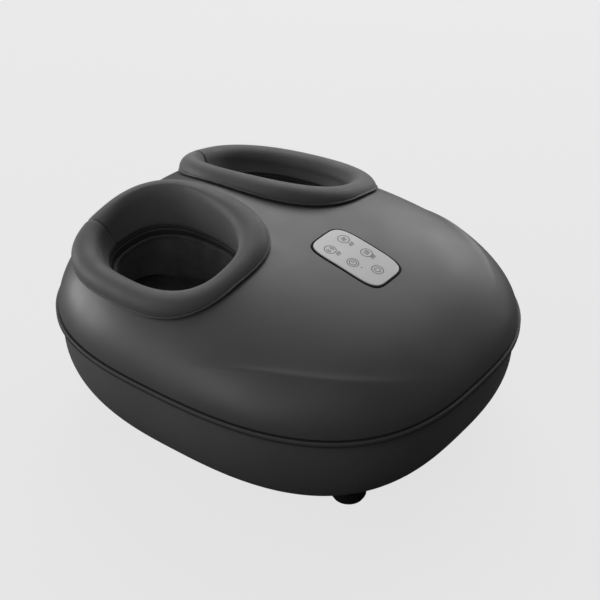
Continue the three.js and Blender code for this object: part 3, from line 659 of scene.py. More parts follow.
@dataclass(frozen=True)
class BodyForm:
    """Outline and dome that the outer pieces follow, with the soft shoulder line in front of the collars."""

    width: float = 380.0
    length: float = 439.0
    widest_share: float = 0.043
    toe_fullness: float = 2.74
    heel_fullness: float = 2.69
    seam_height: float = 118.5
    dome_height: float = 93.0
    crown_share: float = 0.173
    flank_fullness: float = 2.165
    crown_fullness: float = 1.924
    setback: float = 3.5
    line_depth: float = 2.2
    line_height: float = 162.5
    line_droop: float = 18.0
    line_rise: float = 2.3
    line_fall: float = 16.0
    line_round: float = 0.6
    line_middle: float = 43.0
    line_spread: float = 34.0
    line_fade: float = 1.5

    @property
    def half_width(self) -> float:
        """Half of the width."""
        return self.width / 2

    @property
    def widest_y(self) -> float:
        """Where the outline is widest."""
        return self.widest_share * self.length

    @property
    def crown_y(self) -> float:
        """Place of the crown on the middle line."""
        return self.crown_share * self.length

    def outline(self, turn: float, inset: float, height: float) -> Vector:
        """Point of the outline.

        Args:
            turn: share of the way round, from the right-hand side over the heel.
            inset: how far the point is moved in.
            height: its height.

        Returns:
            The point.
        """
        toes = math.sin(math.tau * turn) < 0
        fullness = self.toe_fullness if toes else self.heel_fullness
        reach = self.length / 2 + (self.widest_y if toes else -self.widest_y)
        x, y = oval(turn, self.half_width, reach, fullness)
        scale = 1 - inset / self.half_width
        return Vector((scale * x, scale * (self.widest_y + y), height))

    def dome(self, turn: float, climb: float) -> Vector:
        """Point of the cover's skin.

        Args:
            turn: share of the way round.
            climb: angle from 0 at the seam to a quarter turn at the crown.

        Returns:
            The point.
        """
        share = math.cos(climb) ** (2 / self.flank_fullness) if climb < math.pi / 2 else 0.0
        height = self.seam_height + self.dome_height * math.sin(climb) ** (2 / self.crown_fullness)
        point = self.outline(turn, self.setback, height)
        point.x *= share
        point.y = self.crown_y + (point.y - self.crown_y) * share
        return point

    def shoulder(self, turn: float, height: float) -> float:
        """How far the soft shoulder line stands out.

        Args:
            turn: share of the way round.
            height: height of the place on the skin.

        Returns:
            The distance from the plain dome.
        """
        degrees = 360 * turn
        away = min(abs(degrees - 180 - self.line_middle), abs(degrees - 360 + self.line_middle))
        fade = max(0.0, 1 - (away / self.line_spread) ** 2) ** self.line_fade
        above = height - self.line_height + self.line_droop * min(1.0, away / self.line_spread) ** 2
        distance = math.hypot(above, self.line_round) - self.line_round
        return self.line_depth * fade * math.exp(
            -distance / (self.line_rise if above > 0 else self.line_fall)
        )

    def skin_height(self, x: np.ndarray, y: np.ndarray) -> np.ndarray:
        """Height of the cover's skin, found by halving.

        Args:
            x: places on the floor, across.
            y: places on the floor, along.

        Returns:
            The heights over them.
        """
        low, high = np.full(np.shape(x), 1e-6), np.ones(np.shape(x))
        scale = 1 - self.setback / self.half_width
        for _ in range(SKIN_STEPS):
            share = (low + high) / 2
            reach_y = (self.crown_y + (y - self.crown_y) / share) / scale - self.widest_y
            toes = reach_y < 0
            fullness = np.where(toes, self.toe_fullness, self.heel_fullness)
            reach = self.length / 2 + np.where(toes, self.widest_y, -self.widest_y)
            across = np.abs(x / share) / (scale * self.half_width)
            with np.errstate(over="ignore"):
                outside = across**fullness + (np.abs(reach_y) / reach) ** fullness > 1
            low, high = np.where(outside, share, low), np.where(outside, high, share)
        rise = np.maximum(0, 1 - high**self.flank_fullness) ** (1 / self.crown_fullness)
        return self.seam_height + self.dome_height * rise


@dataclass(frozen=True)
class CollarForm:
    """Place, tilt and section of the padded collar round the right-hand foot opening."""

    body: BodyForm
    x_share: float = 0.22
    y_share: float = 0.1772
    sink: float = 12.25
    lean: float = 16.46
    pitch: float = 4.96
    turn: float = -5.3
    length: float = 203.2
    breadth: float = 158.0
    fullness: float = 2.52
    width: float = 30.5
    rise: float = 14.0
    sag: float = 2.8
    gap: float = 1.3
    skirt_depth: float = 20.0
    skirt_slope: float = 0.165
    skirt_width: float = 13.0
    hem_round: float = 2.2
    roll_fullness: float = 2.1
    wall_slope: float = 3.0
    slope_start: float = 6.0
    slope_drop: float = 1.5
    slope_turn: float = 42.0
    slope_fade: float = 1.5
    stations: int = 256
    roll_steps: int = 22
    wall_steps: int = 30
    back_steps: int = 10
    plug_columns: int = 128

    @cached_property
    def up(self) -> Vector:
        """Direction square to the collar's plane."""
        lean, pitch = math.radians(self.lean), math.radians(self.pitch)
        return Vector((math.sin(lean), math.sin(pitch), math.cos(lean))).normalized()

    @cached_property
    def along_flat(self) -> Vector:
        """Level direction from toes to heel."""
        turn = math.radians(self.turn)
        return Vector((math.sin(turn), math.cos(turn), 0))

    @cached_property
    def along(self) -> Vector:
        """Direction from toes to heel in the collar's plane."""
        return (self.along_flat - self.up * self.along_flat.dot(self.up)).normalized()

    @cached_property
    def across(self) -> Vector:
        """Direction from the body's middle outwards in the collar's plane."""
        return self.along.cross(self.up)

    @cached_property
    def middle(self) -> Vector:
        """Middle of the collar's plane."""
        x, y = self.x_share * self.body.width, self.y_share * self.body.length
        return Vector((x, y, float(self.body.skin_height(np.array(x), np.array(y))) - self.sink))

    def corner(self, turn: float) -> Pair:
        """Shares of the two half axes at a share of the way round.

        Args:
            turn: share of the way round.

        Returns:
            The shares across and along.
        """
        half, reach = self.breadth / 2 - self.width / 2, self.length / 2 - self.width / 2
        across, along = oval(turn, half, reach, self.fullness)
        return across / half, along / reach

    def ring(self, turn: float, inset: float, rise: float) -> Vector:
        """Point of the collar's outline.

        Args:
            turn: share of the way round.
            inset: how far the point is moved in.
            rise: how far it is moved up from the collar's plane.

        Returns:
            The point.
        """
        across, along = self.corner(turn)
        point = self.middle + self.across * (across * (self.breadth / 2 - inset))
        return point + self.along * (along * (self.length / 2 - inset)) + self.up * rise

    def hem_rise(self, turn: float, inset: float) -> float:
        """Rise of the skirt's hem, lowest on the side of the body's middle."""
        return self.skirt_slope * (
            self.ring(turn, inset, 0) - self.middle
        ).dot(self.across) - self.skirt_depth

    def hem(self, turn: float, inset: float, drop: float) -> Vector:
        """Point below the hem by a drop."""
        return self.ring(turn, inset, self.hem_rise(turn, inset) - drop)

    def skin_rise(self, turns: Sequence[float], insets: np.ndarray) -> np.ndarray:
        """How far the cover's skin lies above the collar's plane, found by halving.

        Args:
            turns: shares of the way round.
            insets: distances in from the outline.

        Returns:
            A row of rises for each share.
        """
        places = np.array([[self.ring(turn, inset, 0) for inset in insets] for turn in turns])
        up = np.array(self.up)
        low, high = np.full(places.shape[:2], -self.width), np.full(places.shape[:2], self.width)
        for _ in range(RISE_STEPS):
            rise = (low + high) / 2
            at = places + rise[..., None] * up
            above = at[..., 2] > self.body.skin_height(at[..., 0], at[..., 1])
            high, low = np.where(above, rise, high), np.where(above, low, rise)
        return high

    def plug(self, inset: float, low: float, high: float) -> BMesh:
        """A closed body inside the collar's outline.

        Args:
            inset: how far its side is moved in.
            low: rise of its lower end.
            high: rise of its upper end.

        Returns:
            The mesh.
        """
        def point(turn: float, inset: float | None, rise: float) -> Vector:
            """Point of the side, or of the axis where there is no inset."""
            return self.middle + self.up * rise if inset is None else self.ring(turn, inset, rise)

        return carried([(None, low), (inset, low), (inset, high), (None, high)], self.plug_columns, point)


@dataclass(frozen=True)
class PanelForm:
    """Place and outline of the control panel in front of the crown."""

    body: BodyForm
    length: float = 79.5
    breadth: float = 47.2
    y: float = -79.5
    fullness: float = 4.6
    proud: float = 0.8
    bend: Pair = (1.0, 0.8)
    rim: float = 3.8
    sheet: float = 1.6
    gap: float = 0.3
    bezel: float = 1.7
    bezel_top: float = 0.55
    seat: float = 4.0
    segments: int = 144

    @cached_property
    def sags(self) -> Pair:
        """How fast the skin falls away from the panel's plane, per square millimetre.

        Returns:
            The fall across and along.
        """
        half, reach = self.breadth / 2, self.length / 2
        x, y = np.array([0, half, 0, 0]), self.y + np.array([0, 0, reach, -reach])
        middle, side, heel, toe = self.body.skin_height(x, y)
        return float(side - middle) / half**2, float((heel + toe) / 2 - middle) / reach**2

    @cached_property
    def place(self) -> Matrix:
        """Frame of the panel.

        Returns:
            Its X across, Y towards the heel and Z out of the skin.
        """
        ends = np.array([self.y + self.length / 2, self.y - self.length / 2, self.y])
        heights = self.body.skin_height(np.zeros(3), ends)
        slope = math.atan2(heights[0] - heights[1], self.length)
        return Matrix.Translation((0, self.y, heights[2])) @ Matrix.Rotation(slope, 4, "X")

    def bent(self, x: float, y: float, height: float) -> Vector:
        """Point that follows the dome's bend at the top and lies flat at the seat.

        Args:
            x: place across.
            y: place along.
            height: height over the panel's plane.

        Returns:
            The point.
        """
        share = min(1.0, max(0.0, 1 + height / self.seat))
        across, along = (bend * sag for bend, sag in zip(self.bend, self.sags))
        return Vector((x, y, height + share * (across * x * x + along * y * y)))

    def rim_point(self, turn: float, grow: float | None, height: float) -> Vector:
        """Point of the outline moved out by grow, or of the middle where there is no growth."""
        x, y = (0, 0) if grow is None else oval(
            turn, self.breadth / 2 + grow, self.length / 2 + grow, self.fullness
        )
        return self.bent(x, y, height)

    def turned_ring(self, line: Line, closed: bool = False) -> BMesh:
        """Carries a section round the outline.

        Args:
            line: growth and height of its points.
            closed: whether the section's end joins its start.

        Returns:
            The mesh, at the panel's place.
        """
        mesh = carried(line, self.segments, self.rim_point, closed)
        bmesh.ops.transform(mesh, matrix=self.place, verts=mesh.verts)
        return mesh

    def slab(self, grow: float, low: float, high: float) -> BMesh:
        """A closed body inside the outline between two heights."""
        return self.turned_ring([(None, low), (grow, low), (grow, high), (None, high)])


@dataclass
class Cover:
    """Domed cover: one thin shell with the two foot openings and the recess for the control panel."""

    body: BodyForm
    collar: CollarForm
    panel: PanelForm
    wall: float = 3.0
    skirt: float = 1.1
    skirt_rows: int = 2
    flare: float = 1.3
    flare_height: float = 26.0
    edge_round: float = 0.5
    edge_angle: float = 0.9
    edge_share: float = 0.3
    crowding: float = 0.7
    bulge: Pair = (0.75, 0.66)
    clearance: float = 0.3
    plug_ends: Pair = (-28.0, 30.0)
    slab_top: float = 12.0
    columns: int = 256
    rows: int = 130

    def skin(self) -> BMesh:
        """The outer skin; its rows crowd at the shoulder line.

        Returns:
            The mesh.
        """
        form = self.body
        line_rise = form.line_height - form.line_droop / 4 - form.seam_height
        share = math.asin((line_rise / form.dome_height) ** (form.crown_fullness / 2)) / (math.pi / 2)
        dome_rows = self.rows - self.skirt_rows

        def place(column: int, row: int) -> Vector:
            """Point of the skin.

            Args:
                column: its number round the body.
                row: its number from the lower edge to the crown.

            Returns:
                The point.
            """
            turn = (column % self.columns) / self.columns
            step = max(0, row - self.skirt_rows) / dome_rows
            step -= self.crowding * (
                math.sin(math.tau * (step - share)) + math.sin(math.tau * share)
            ) / math.tau
            point = form.dome(turn, math.pi / 2 * max(0.0, step))
            point.z -= self.skirt * max(0, self.skirt_rows - row) / self.skirt_rows
            outwards = Vector((point.x, point.y - form.widest_y, 0)).normalized()
            near_edge = max(0.0, 1 - (point.z - form.seam_height + self.skirt) / self.flare_height)
            point += outwards * (self.flare * near_edge**2)
            bulge = form.shoulder(turn, point.z)
            return point + bulge * (outwards * self.bulge[0] + Vector((0, 0, self.bulge[1])))

        return mapped_grid(self.columns, self.rows, place)

    def shell(self) -> BMesh:
        """The skin given its wall, with its lower edges rounded.

        Returns:
            The mesh.
        """
        mesh = self.skin()
        bmesh.ops.solidify(mesh, geom=mesh.faces, thickness=self.wall)
        bmesh.ops.recalc_face_normals(mesh, faces=mesh.faces)
        low = self.body.seam_height - self.skirt + self.wall * self.edge_share
        rim = [e for e in mesh.edges if e.calc_face_angle(0) > self.edge_angle and e.verts[0].co.z < low]
        bmesh.ops.bevel(
            mesh, geom=rim, offset=self.edge_round, segments=3, profile=0.5, affect="EDGES", material=-1
        )
        return mesh

    def build(self) -> None:
        """Builds and dresses the cover."""
        cover = made_object(self.shell(), "cover")
        inset = self.collar.width - self.collar.skirt_width - self.clearance
        tools = [mirrored(self.collar.plug(inset, *self.plug_ends), side) for side in Side]
        tools.append(self.panel.slab(self.panel.bezel + self.clearance, -self.panel.seat, self.slab_top))
        carve(cover, joined(tools), Carving.CUT)
        mount(cover, COVER_PLASTIC, "cover_plastic", "upper_housing")


@dataclass
class Tub:
    """Lower housing: rim lip, tucked-in wall, underside, foot recesses, screw posts and socket boss."""

    body: BodyForm
    wall: float = 3.0
    underside: float = 9.0
    underside_share: float = 0.7
    tuck: float = 51.0
    bulge: float = 6.2
    fullness: float = 1.85
    overhang: float = 7.0
    rim_height: float = 7.0
    rim_round: float = 0.9
    rim_edge: float = 0.7
    rim_drop: float = 2.0
    rim_sag: float = 1.0
    lip_round: float = 0.5
    lip_drop: float = 0.6
    ledge: float = 3.2
    ledge_drop: float = 1.2
    notch: float = 2.8
    notch_start: float = 0.9
    notch_height: float = 1.9
    notch_edge: float = 0.2
    clearance: float = 0.3
    groove: float = 1.7
    groove_edge: float = 0.4
    columns: int = 256
    wall_steps: int = 34
    chamber_x: float = 83.98
    chamber_half: float = 59.05
    side_posts: Pair = (-0.137, 0.205)
    end_posts: Pair = (-0.376, 0.39)
    post_radius: float = 7.0
    post_top: float = 92.0
    post_seat: float = 8.0
    post_bore: Pair = (80.0, 110.0)
    head_bore: float = 4.1
    screw_bore: float = 2.3
    foot_x_share: float = 0.2305
    foot_shares: Pair = (-0.3144, 0.2916)
    foot_radius: float = 17.0
    foot_top: float = 14.3
    foot_bore: Pair = (12.3, 30.0)
    cut_start: float = -5.0
    socket_height: float = 62.0
    socket_boss: float = 10.0
    socket_bore: float = 5.9
    socket_ends: Triple = (180.0, 189.0, 230.0)

    @property
    def rim_top(self) -> float:
        """Height of the rim's top."""
        return self.body.seam_height - self.rim_drop

    def wall_inset(self, depth: float) -> float:
        """Inset of the outer wall at a depth from 0 under the rim to 1 at the underside."""
        tuck = self.tuck * (1 - (1 - depth**self.fullness) ** (1 / self.fullness))
        return self.overhang + tuck - self.bulge * math.sin(math.pi * depth)

    def wall_line(self, wall: float) -> list[Pair]:
        """Line from the underside up to below the rim.

        Args:
            wall: how far it is moved in.

        Returns:
            Its insets and heights.
        """
        top = self.body.seam_height - self.rim_height
        height = top - self.underside - wall
        depths = [math.sin(step / self.wall_steps * math.pi / 2) for step in range(self.wall_steps, -1, -1)]
        line = [(self.wall_inset(depth) + wall, top - height * depth) for depth in depths]
        if not wall:
            inset = self.overhang + self.groove
            line[-1] = (line[-1][0], top - self.groove - self.groove_edge)
            line += [(inset, top - self.groove), (inset, top)]
        return line

    def rim_line(self) -> list[Pair]:
        """Line round the rim lip, from its lower edge over the notch to the sunk ledge under the cover.

        Returns:
            Its insets and heights.
        """
        low = self.body.seam_height - self.rim_height - self.rim_sag
        start, soft = low + self.notch_start, self.notch_edge
        end = start + self.notch_height
        line = bow((self.rim_round, low + self.rim_edge), (-self.rim_round, self.rim_edge), -90, 30, 4)
        line += [(self.notch, start), (self.notch, end - soft), (soft / 2, end), (0.0, end + soft)]
        line += bow(
            (self.lip_round, self.rim_top - self.lip_drop), (-self.lip_round, self.lip_drop), 0, 11.25, 9
        )
        return [*line, (self.ledge, self.rim_top - self.ledge_drop)]

    def shell(self) -> BMesh:
        """Outer wall, rim and inner wall.

        Returns:
            One closed skin.
        """
        half, floor = self.body.half_width, self.underside + self.wall
        outside = [(half, self.underside), (half * self.underside_share, self.underside), *self.wall_line(0)]
        inner = [
            (self.overhang + self.wall, self.rim_top - self.ledge_drop), *reversed(self.wall_line(self.wall))
        ]
        line = [*outside, *self.rim_line(), *inner, (half * self.underside_share, floor), (half, floor)]
        return carried(line, self.columns, self.body.outline)

    def block(self) -> BMesh:
        """The solid enclosed by a skin halfway through the wall, where posts and bosses end.

        Returns:
            The mesh.
        """
        half, top, inset = self.body.half_width, self.rim_top, self.wall / 2
        line = [
            (half, self.underside + inset), *self.wall_line(inset), (self.overhang + inset, top), (half, top)
        ]
        return carried(line, self.columns, self.body.outline)

    def pairs(self, x: float, shares: Pair) -> list[Pair]:
        """Places to the right and to the left of the middle, for each share of the length."""
        return [(sign * x, share * self.body.length) for share in shares for sign in (1, -1)]

    def posts(self) -> list[Pair]:
        """Places of the screw posts: beside the foot chambers and on the middle line."""
        side = (self.chamber_x + self.chamber_half + self.body.half_width - self.overhang - self.wall) / 2
        return [*self.pairs(side, self.side_posts), *self.pairs(0.0, self.end_posts)[::2]]

    def feet(self) -> list[Pair]:
        """Places of the rubber feet."""
        return self.pairs(self.foot_x_share * self.body.width, self.foot_shares)

    def build(self) -> None:
        """Builds and dresses the tub."""
        tub = made_object(self.shell(), "tub")
        added_rods, wide, narrow = [], [], []
        for spot in self.feet():
            top, start = (*spot, self.foot_top), (*spot, self.cut_start)
            added_rods.append(
                rod(self.foot_radius + self.wall, (*spot, 0), (*spot, self.foot_top + self.wall))
            )
            wide.append(rod(self.foot_radius + self.clearance, start, top))
            narrow.append(rod(self.screw_bore, (*spot, self.foot_bore[0]), (*spot, self.foot_bore[1]), 24))
        for spot in self.posts():
            seat, start = (*spot, self.post_top - self.post_seat), (*spot, self.cut_start)
            added_rods.append(rod(self.post_radius, (*spot, 0), (*spot, self.post_top), 32))
            wide.append(rod(self.head_bore, start, seat, 32))
            narrow.append(rod(self.screw_bore, (*spot, self.post_bore[0]), (*spot, self.post_bore[1]), 24))
        start, boss, end = ((0, y, self.socket_height) for y in self.socket_ends)
        added_rods.append(rod(self.socket_boss, boss, end))
        wide.append(rod(self.socket_bore, start, end))
        inside = made_object(joined(added_rods), "posts")
        carve(inside, self.block(), Carving.KEEP)
        carve(tub, taken(inside), Carving.ADD)
        carve(tub, joined(wide), Carving.CUT)
        carve(tub, joined(narrow), Carving.CUT)
        mount(tub, TUB_PLASTIC, "tub_plastic", "lower_housing")


@dataclass
class Collar:
    """One padded collar: a stuffed roll on the cover with a skirt down into the opening."""

    form: CollarForm
    side: Side
    lip_round: float = 1.0
    lip_start: Pair = (1.0, -0.15)
    lip_shift: float = 0.15
    lip_share: float = 2.1
    foot_inset: float = 1.5
    seam_turns: dict[Side, float] = field(default_factory=lambda: {Side.RIGHT: 0.282, Side.LEFT: 0.222})
    seam_depth: float = 1.3
    seam_width: float = 1.3
    seam_crowding: float = 0.9
    girth: float = 560.0
    contact_steps: int = 200
    skin_start: float = -3.0
    skin_insets: int = 36

    def roll(self, angle: Number, sag: float) -> tuple[Number, Number]:
        """Point of the round roll.

        Args:
            angle: from a negative angle at its outer foot to a half turn at its inner side.
            sag: how far the roll hangs down there.

        Returns:
            Inset and rise.
        """
        form, power = self.form, 2 / self.form.roll_fullness
        across, up = signed_power(np.cos(angle), power), signed_power(np.sin(angle), power)
        return (form.width - form.wall_slope) / 2 * (1 - across), form.rise * up - sag

    def section(self, turn: float, insets: np.ndarray, skin: np.ndarray) -> list[Pair]:
        """Closed section, listed from the outer contact over the roll.

        Args:
            turn: share of the way round.
            insets: insets at which the skin is known.
            skin: rise of the skin there.

        Returns:
            Its insets and rises.
        """
        form, lip_round, hem_round = self.form, self.lip_round, self.form.hem_round
        along = (form.ring(turn, form.width / 2, 0) - form.middle).dot(form.along)
        sag = form.sag * (2 * along / form.length) ** 2
        angles = np.linspace(-math.pi / 2, math.pi, self.contact_steps)
        inset, rise = self.roll(angles, sag)
        first = int(np.argmax(rise > np.interp(inset, insets, skin)))
        foot = float(inset[first]), float(rise[first])
        lip = [(foot[0] + self.lip_start[0], foot[1] + self.lip_start[1])]
        lip += bow((foot[0] + self.lip_shift, foot[1] + lip_round), (-lip_round, lip_round), -75, 40, 6)
        start = angles[first] + self.lip_share * lip_round / form.rise
        rolled = self.roll(np.linspace(start, math.pi / 2, form.roll_steps + 1), sag)
        roll = [(float(inset), float(rise)) for inset, rise in zip(*rolled)]
        edge = (form.width, form.hem_rise(turn, form.width) + hem_round)
        inner = self.inner_side(turn, roll[-1], edge, sag)
        wall = bow((form.width - hem_round, edge[1]), (hem_round, -hem_round), 22.5, 22.5, 4)
        back = form.width - form.skirt_width
        backs = np.linspace(back, foot[0] + self.foot_inset, form.back_steps, endpoint=False)
        under = [(float(inset), float(np.interp(inset, insets, skin))) for inset in backs]
        return [*lip, *roll, *inner, *wall, (back, form.hem_rise(turn, back)), *under]

    def inner_side(self, turn: float, crest: Pair, edge: Pair, sag: float) -> list[Pair]:
        """Inner side: full and upright at the toes, a plain slope towards the middle and heel.

        Args:
            turn: share of the way round.
            crest: inset and rise of the roll's crest.
            edge: inset and rise of the end, over the hem.
            sag: how far the roll hangs down there.

        Returns:
            Insets and rises from the crest to the hem.
        """
        form = self.form
        spot = form.ring(turn, 0, 0) - form.middle
        away = math.atan2(spot.dot(form.along), -spot.dot(form.across)) - math.radians(form.slope_turn)
        slope = max(0.0, math.cos(away)) ** form.slope_fade
        bend = Vector((crest[0] + form.slope_start, crest[1] - form.slope_drop))
        ends = Vector(crest), Vector(edge)
        side, top = self.roll(math.pi, sag)
        points = []
        for step in range(1, form.wall_steps + 1):
            share = step / form.wall_steps
            plain = ends[0] * (1 - share) ** 2 + bend * (2 * share * (1 - share)) + ends[1] * share**2
            if share <= 0.5:
                full = self.roll(math.pi / 2 * (1 + 2 * share), sag)
            else:
                down = 2 * share - 1
                full = side + (edge[0] - side) * (
                    1 - math.cos(down * math.pi / 2)
                ), top + (edge[1] - top) * down
            point = Vector((float(full[0]), float(full[1]))).lerp(plain, slope)
            points.append((point.x, point.y))
        return points

    def sections(self) -> list[list[Vector]]:
        """Closed section at every station.

        Returns:
            The points of each, pressed in at the seam.
        """
        form = self.form
        turns = [self.station(column) for column in range(form.stations)]
        insets = np.linspace(self.skin_start, form.width, self.skin_insets)
        skins = form.skin_rise(turns, insets) + form.gap
        result = []
        for turn, skin in zip(turns, skins):
            groove = self.groove(turn)
            result.append([self.pressed(turn, *point, groove) for point in self.section(turn, insets, skin)])
        return result

    def from_seam(self, turn: float) -> float:
        """Share of the way round from the seam, from minus a half to a half."""
        return (turn - self.seam_turns[self.side] + 0.5) % 1 - 0.5

    def station(self, column: int) -> float:
        """Share of the way round at a column; the columns crowd near the seam."""
        offset = self.from_seam((column % self.form.stations) / self.form.stations)
        return (
            self.seam_turns[self.side] + offset - self.seam_crowding * math.sin(math.tau * offset) / math.tau
        ) % 1

    def groove(self, turn: float) -> float:
        """Depth of the sewn seam across the roll at a share of the way round."""
        distance = self.from_seam(turn) * self.girth
        return self.seam_depth * math.exp(-((distance / self.seam_width) ** 2))

    def pressed(self, turn: float, inset: float, rise: float, groove: float) -> Vector:
        """Point of the section, pressed in by the seam's groove.

        Args:
            turn: share of the way round.
            inset: its inset.
            rise: its rise.
            groove: depth of the groove.

        Returns:
            The point.
        """
        towards = Vector((self.form.width / 2 - inset, -rise))
        if towards.length > 0 and rise > -self.form.skirt_depth:
            towards.normalize()
            inset += groove * towards.x
            rise += groove * towards.y
        return self.form.ring(turn, inset, rise)

    def build(self) -> None:
        """Builds and dresses the collar."""
        sections = self.sections()
        columns, count = len(sections), len(sections[0])
        mesh = mapped_grid(columns, count, lambda column, row: sections[column % columns][row % count])
        collar = made_object(mirrored(mesh, self.side), f"padded_collar_{self.side.word}", crease=60)
        mount(collar, COLLAR_LEATHER, "collar_leather", f"collar_{self.side.word}")


@dataclass
class Hoop:
    """Stiff ring under the skirt, with an apron that closes the dark step down to the lining."""

    form: CollarForm
    side: Side
    width: float = 9.0
    thickness: float = 4.0
    gap: float = 0.3
    soft: float = 0.6
    apron: float = 11.6
    apron_wall: float = 2.4
    apron_reach: float = 0.8
    segments: int = 192

    def build(self) -> None:
        """Builds and dresses the hoop."""
        soft, high, low, end = self.soft, self.gap, self.gap + self.thickness, self.apron
        inner, outer, tip = self.form.width, self.form.width - self.width, self.form.width + self.apron_reach
        back = inner - self.apron_wall
        line = [
            (inner, high + soft), (inner, low - soft), (tip, low + soft), (tip, end - soft), (tip - soft, end)
        ]
        line += [(back, end), (back, low), (outer + soft, low), (outer, low - soft)]
        line += [(outer, high + soft), (outer + soft, high), (inner - soft, high)]
        mesh = carried(line, self.segments, self.form.hem, closed=True)
        hoop = made_object(mirrored(mesh, self.side), f"opening_hoop_{self.side.word}", crease=30)
        mount(hoop, HOOP_PLASTIC, "black_plastic", f"collar_hoop_{self.side.word}")


@dataclass
class Lining:
    """Cloth lining of one foot chamber, with its throat up to the opening."""

    form: CollarForm
    side: Side
    x_share: float = 0.221
    toe: float = 176.0
    heel: float = 164.0
    breadth: float = 112.0
    waist: float = 116.0
    floor: float = 95.0
    toe_roof_share: float = 0.19
    heel_roof_share: float = -0.014
    instep_share: float = 0.39
    plan_fullness: float = 3.1
    end_fullness: float = 6.0
    section_fullness: float = 3.4
    thickness: float = 1.6
    edge_drop: float = 11.0
    throat_drop: float = 14.0
    throat_taper: float = 5.0
    ease: float = 0.3
    bead_radius: float = 1.5
    bead_steps: int = 12
    slack: float = 0.5
    turn: float = 85.0
    stations: int = 7
    corners: int = 12
    steps: int = 8
    smoothing: int = 4
    throat_columns: int = 144
    throat_steps: int = 8

    @property
    def middle_x(self) -> float:
        """Place of the chamber's middle, across."""
        return self.x_share * self.form.body.width

    def roof(self, toe_share: float) -> float:
        """Height of the roof.

        Args:
            toe_share: share of the way from heel to toe.

        Returns:
            The height.
        """
        share = self.heel_roof_share + (self.toe_roof_share - self.heel_roof_share) * toe_share
        share += self.instep_share * math.sin(math.pi * toe_share)
        return self.waist + share * (self.form.middle.z - self.waist)

    def facet(self, station: int, corner: int, inset: float) -> Vector:
        """Corner of the tray's moulded facets, which the cloth is stretched over.

        Args:
            station: number of the section, from the heel.
            corner: number of the corner in it.
            inset: how far it is moved in.

        Returns:
            The corner.
        """
        reach, middle = (self.heel + self.toe) / 2 - inset, (self.heel - self.toe) / 2
        share = math.sin(math.radians(self.turn * (2 * station / self.stations - 1)))
        width = (self.breadth / 2 - inset) * (1 - abs(share) ** self.plan_fullness) ** (
            1 / self.plan_fullness
        )
        tall = (1 - abs(share) ** self.end_fullness) ** (1 / self.end_fullness)
        angle, power = math.tau * corner / self.corners, 2 / self.section_fullness
        across, up = signed_power(math.cos(angle), power), signed_power(math.sin(angle), power)
        height = self.roof((1 + share) / 2) - self.waist if up > 0 else self.waist - self.floor
        return Vector(
            (self.middle_x + width * across, middle - reach * share,
             self.waist + tall * (height - inset) * up)
        )

    def chamber(self, inset: float) -> BMesh:
        """Long closed bag for the foot, drawn smooth over the facets.

        Args:
            inset: how far it is moved in.

        Returns:
            The mesh.
        """
        rows = self.stations * self.steps
        corners = [
            [self.facet(s, c, inset) for c in range(self.corners + 1)] for s in range(self.stations + 1)
        ]

        def place(column: int, row: int) -> Vector:
            """Point of the bag.

            Args:
                column: its number round the bag.
                row: its number from heel to toe; the first and the last stand for the ends.

            Returns:
                The point.
            """
            if row in (0, rows + 2):
                return sum(corners[0 if row == 0 else -1][:-1], Vector()) / self.corners
            station, along = divmod(row - 1, self.steps)
            corner, across = divmod(column % (self.corners * self.steps), self.steps)
            near = [corners[min(station + more, self.stations)] for more in (0, 1)]
            ends = [ring[corner].lerp(ring[corner + 1], across / self.steps) for ring in near]
            return ends[0].lerp(ends[1], along / self.steps)

        mesh = mapped_grid(self.corners * self.steps, rows + 2, place)
        for _ in range(self.smoothing):
            bmesh.ops.smooth_vert(
                mesh, verts=mesh.verts, factor=0.5, use_axis_x=True, use_axis_y=True, use_axis_z=True
            )
        return mesh

    def throat(self, inset: float, drop: float) -> BMesh:
        """Tapered way down into the bag.

        Args:
            inset: how far it is moved in.
            drop: how far below the hem it starts.

        Returns:
            The mesh.
        """
        form = self.form
        edge = form.width + self.ease + inset
        foot = Vector((self.middle_x, form.middle.y, self.waist))
        half = form.breadth / 2 - form.width - self.throat_taper - inset
        reach = form.length / 2 - form.width - self.throat_taper - inset
        side = form.along_flat.cross(Vector((0, 0, 1)))
        lid = form.middle + form.up * (-form.skirt_depth - drop)

        def place(column: int, row: int) -> Vector:
            """Point of the throat.

            Args:
                column: its number round the throat.
                row: its number from below; the first and the last stand for the ends.

            Returns:
                The point.
            """
            turn = (column % self.throat_columns) / self.throat_columns
            across, along = form.corner(turn)
            low = foot + side * (across * half) + form.along_flat * (along * reach)
            if row == 0:
                return foot
            if row <= self.throat_steps:
                share = (row - 1) / (self.throat_steps - 1)
                return low.lerp(form.hem(turn, edge, self.throat_drop), share)
            return form.hem(turn, edge, drop) if row == self.throat_steps + 1 else lid

        return mapped_grid(self.throat_columns, self.throat_steps + 2, place)

    def bead(self) -> BMesh:
        """Rolled hem round the upper edge.

        Returns:
            The mesh.
        """
        radius, count = self.bead_radius, self.bead_steps
        middle = (self.form.width + self.ease + radius, self.edge_drop + radius)
        line = bow(middle, (radius, -radius), 0, 360 / count, count)
        return carried(line, self.throat_columns, self.form.hem, closed=True)

    def build(self) -> None:
        """Builds and dresses the lining."""
        lining = made_object(self.chamber(self.slack), "bag")
        carve(lining, self.throat(0, self.edge_drop + self.bead_radius), Carving.ADD)
        carve(lining, self.chamber(self.slack + self.thickness), Carving.CUT)
        carve(lining, self.throat(self.thickness, self.edge_drop - self.throat_drop), Carving.CUT)
        carve(lining, self.bead(), Carving.ADD)
        lining = made_object(mirrored(taken(lining), self.side), f"cloth_lining_{self.side.word}", crease=50)
        mount(lining, LINING_CLOTH, "lining_cloth", f"lining_{self.side.word}")


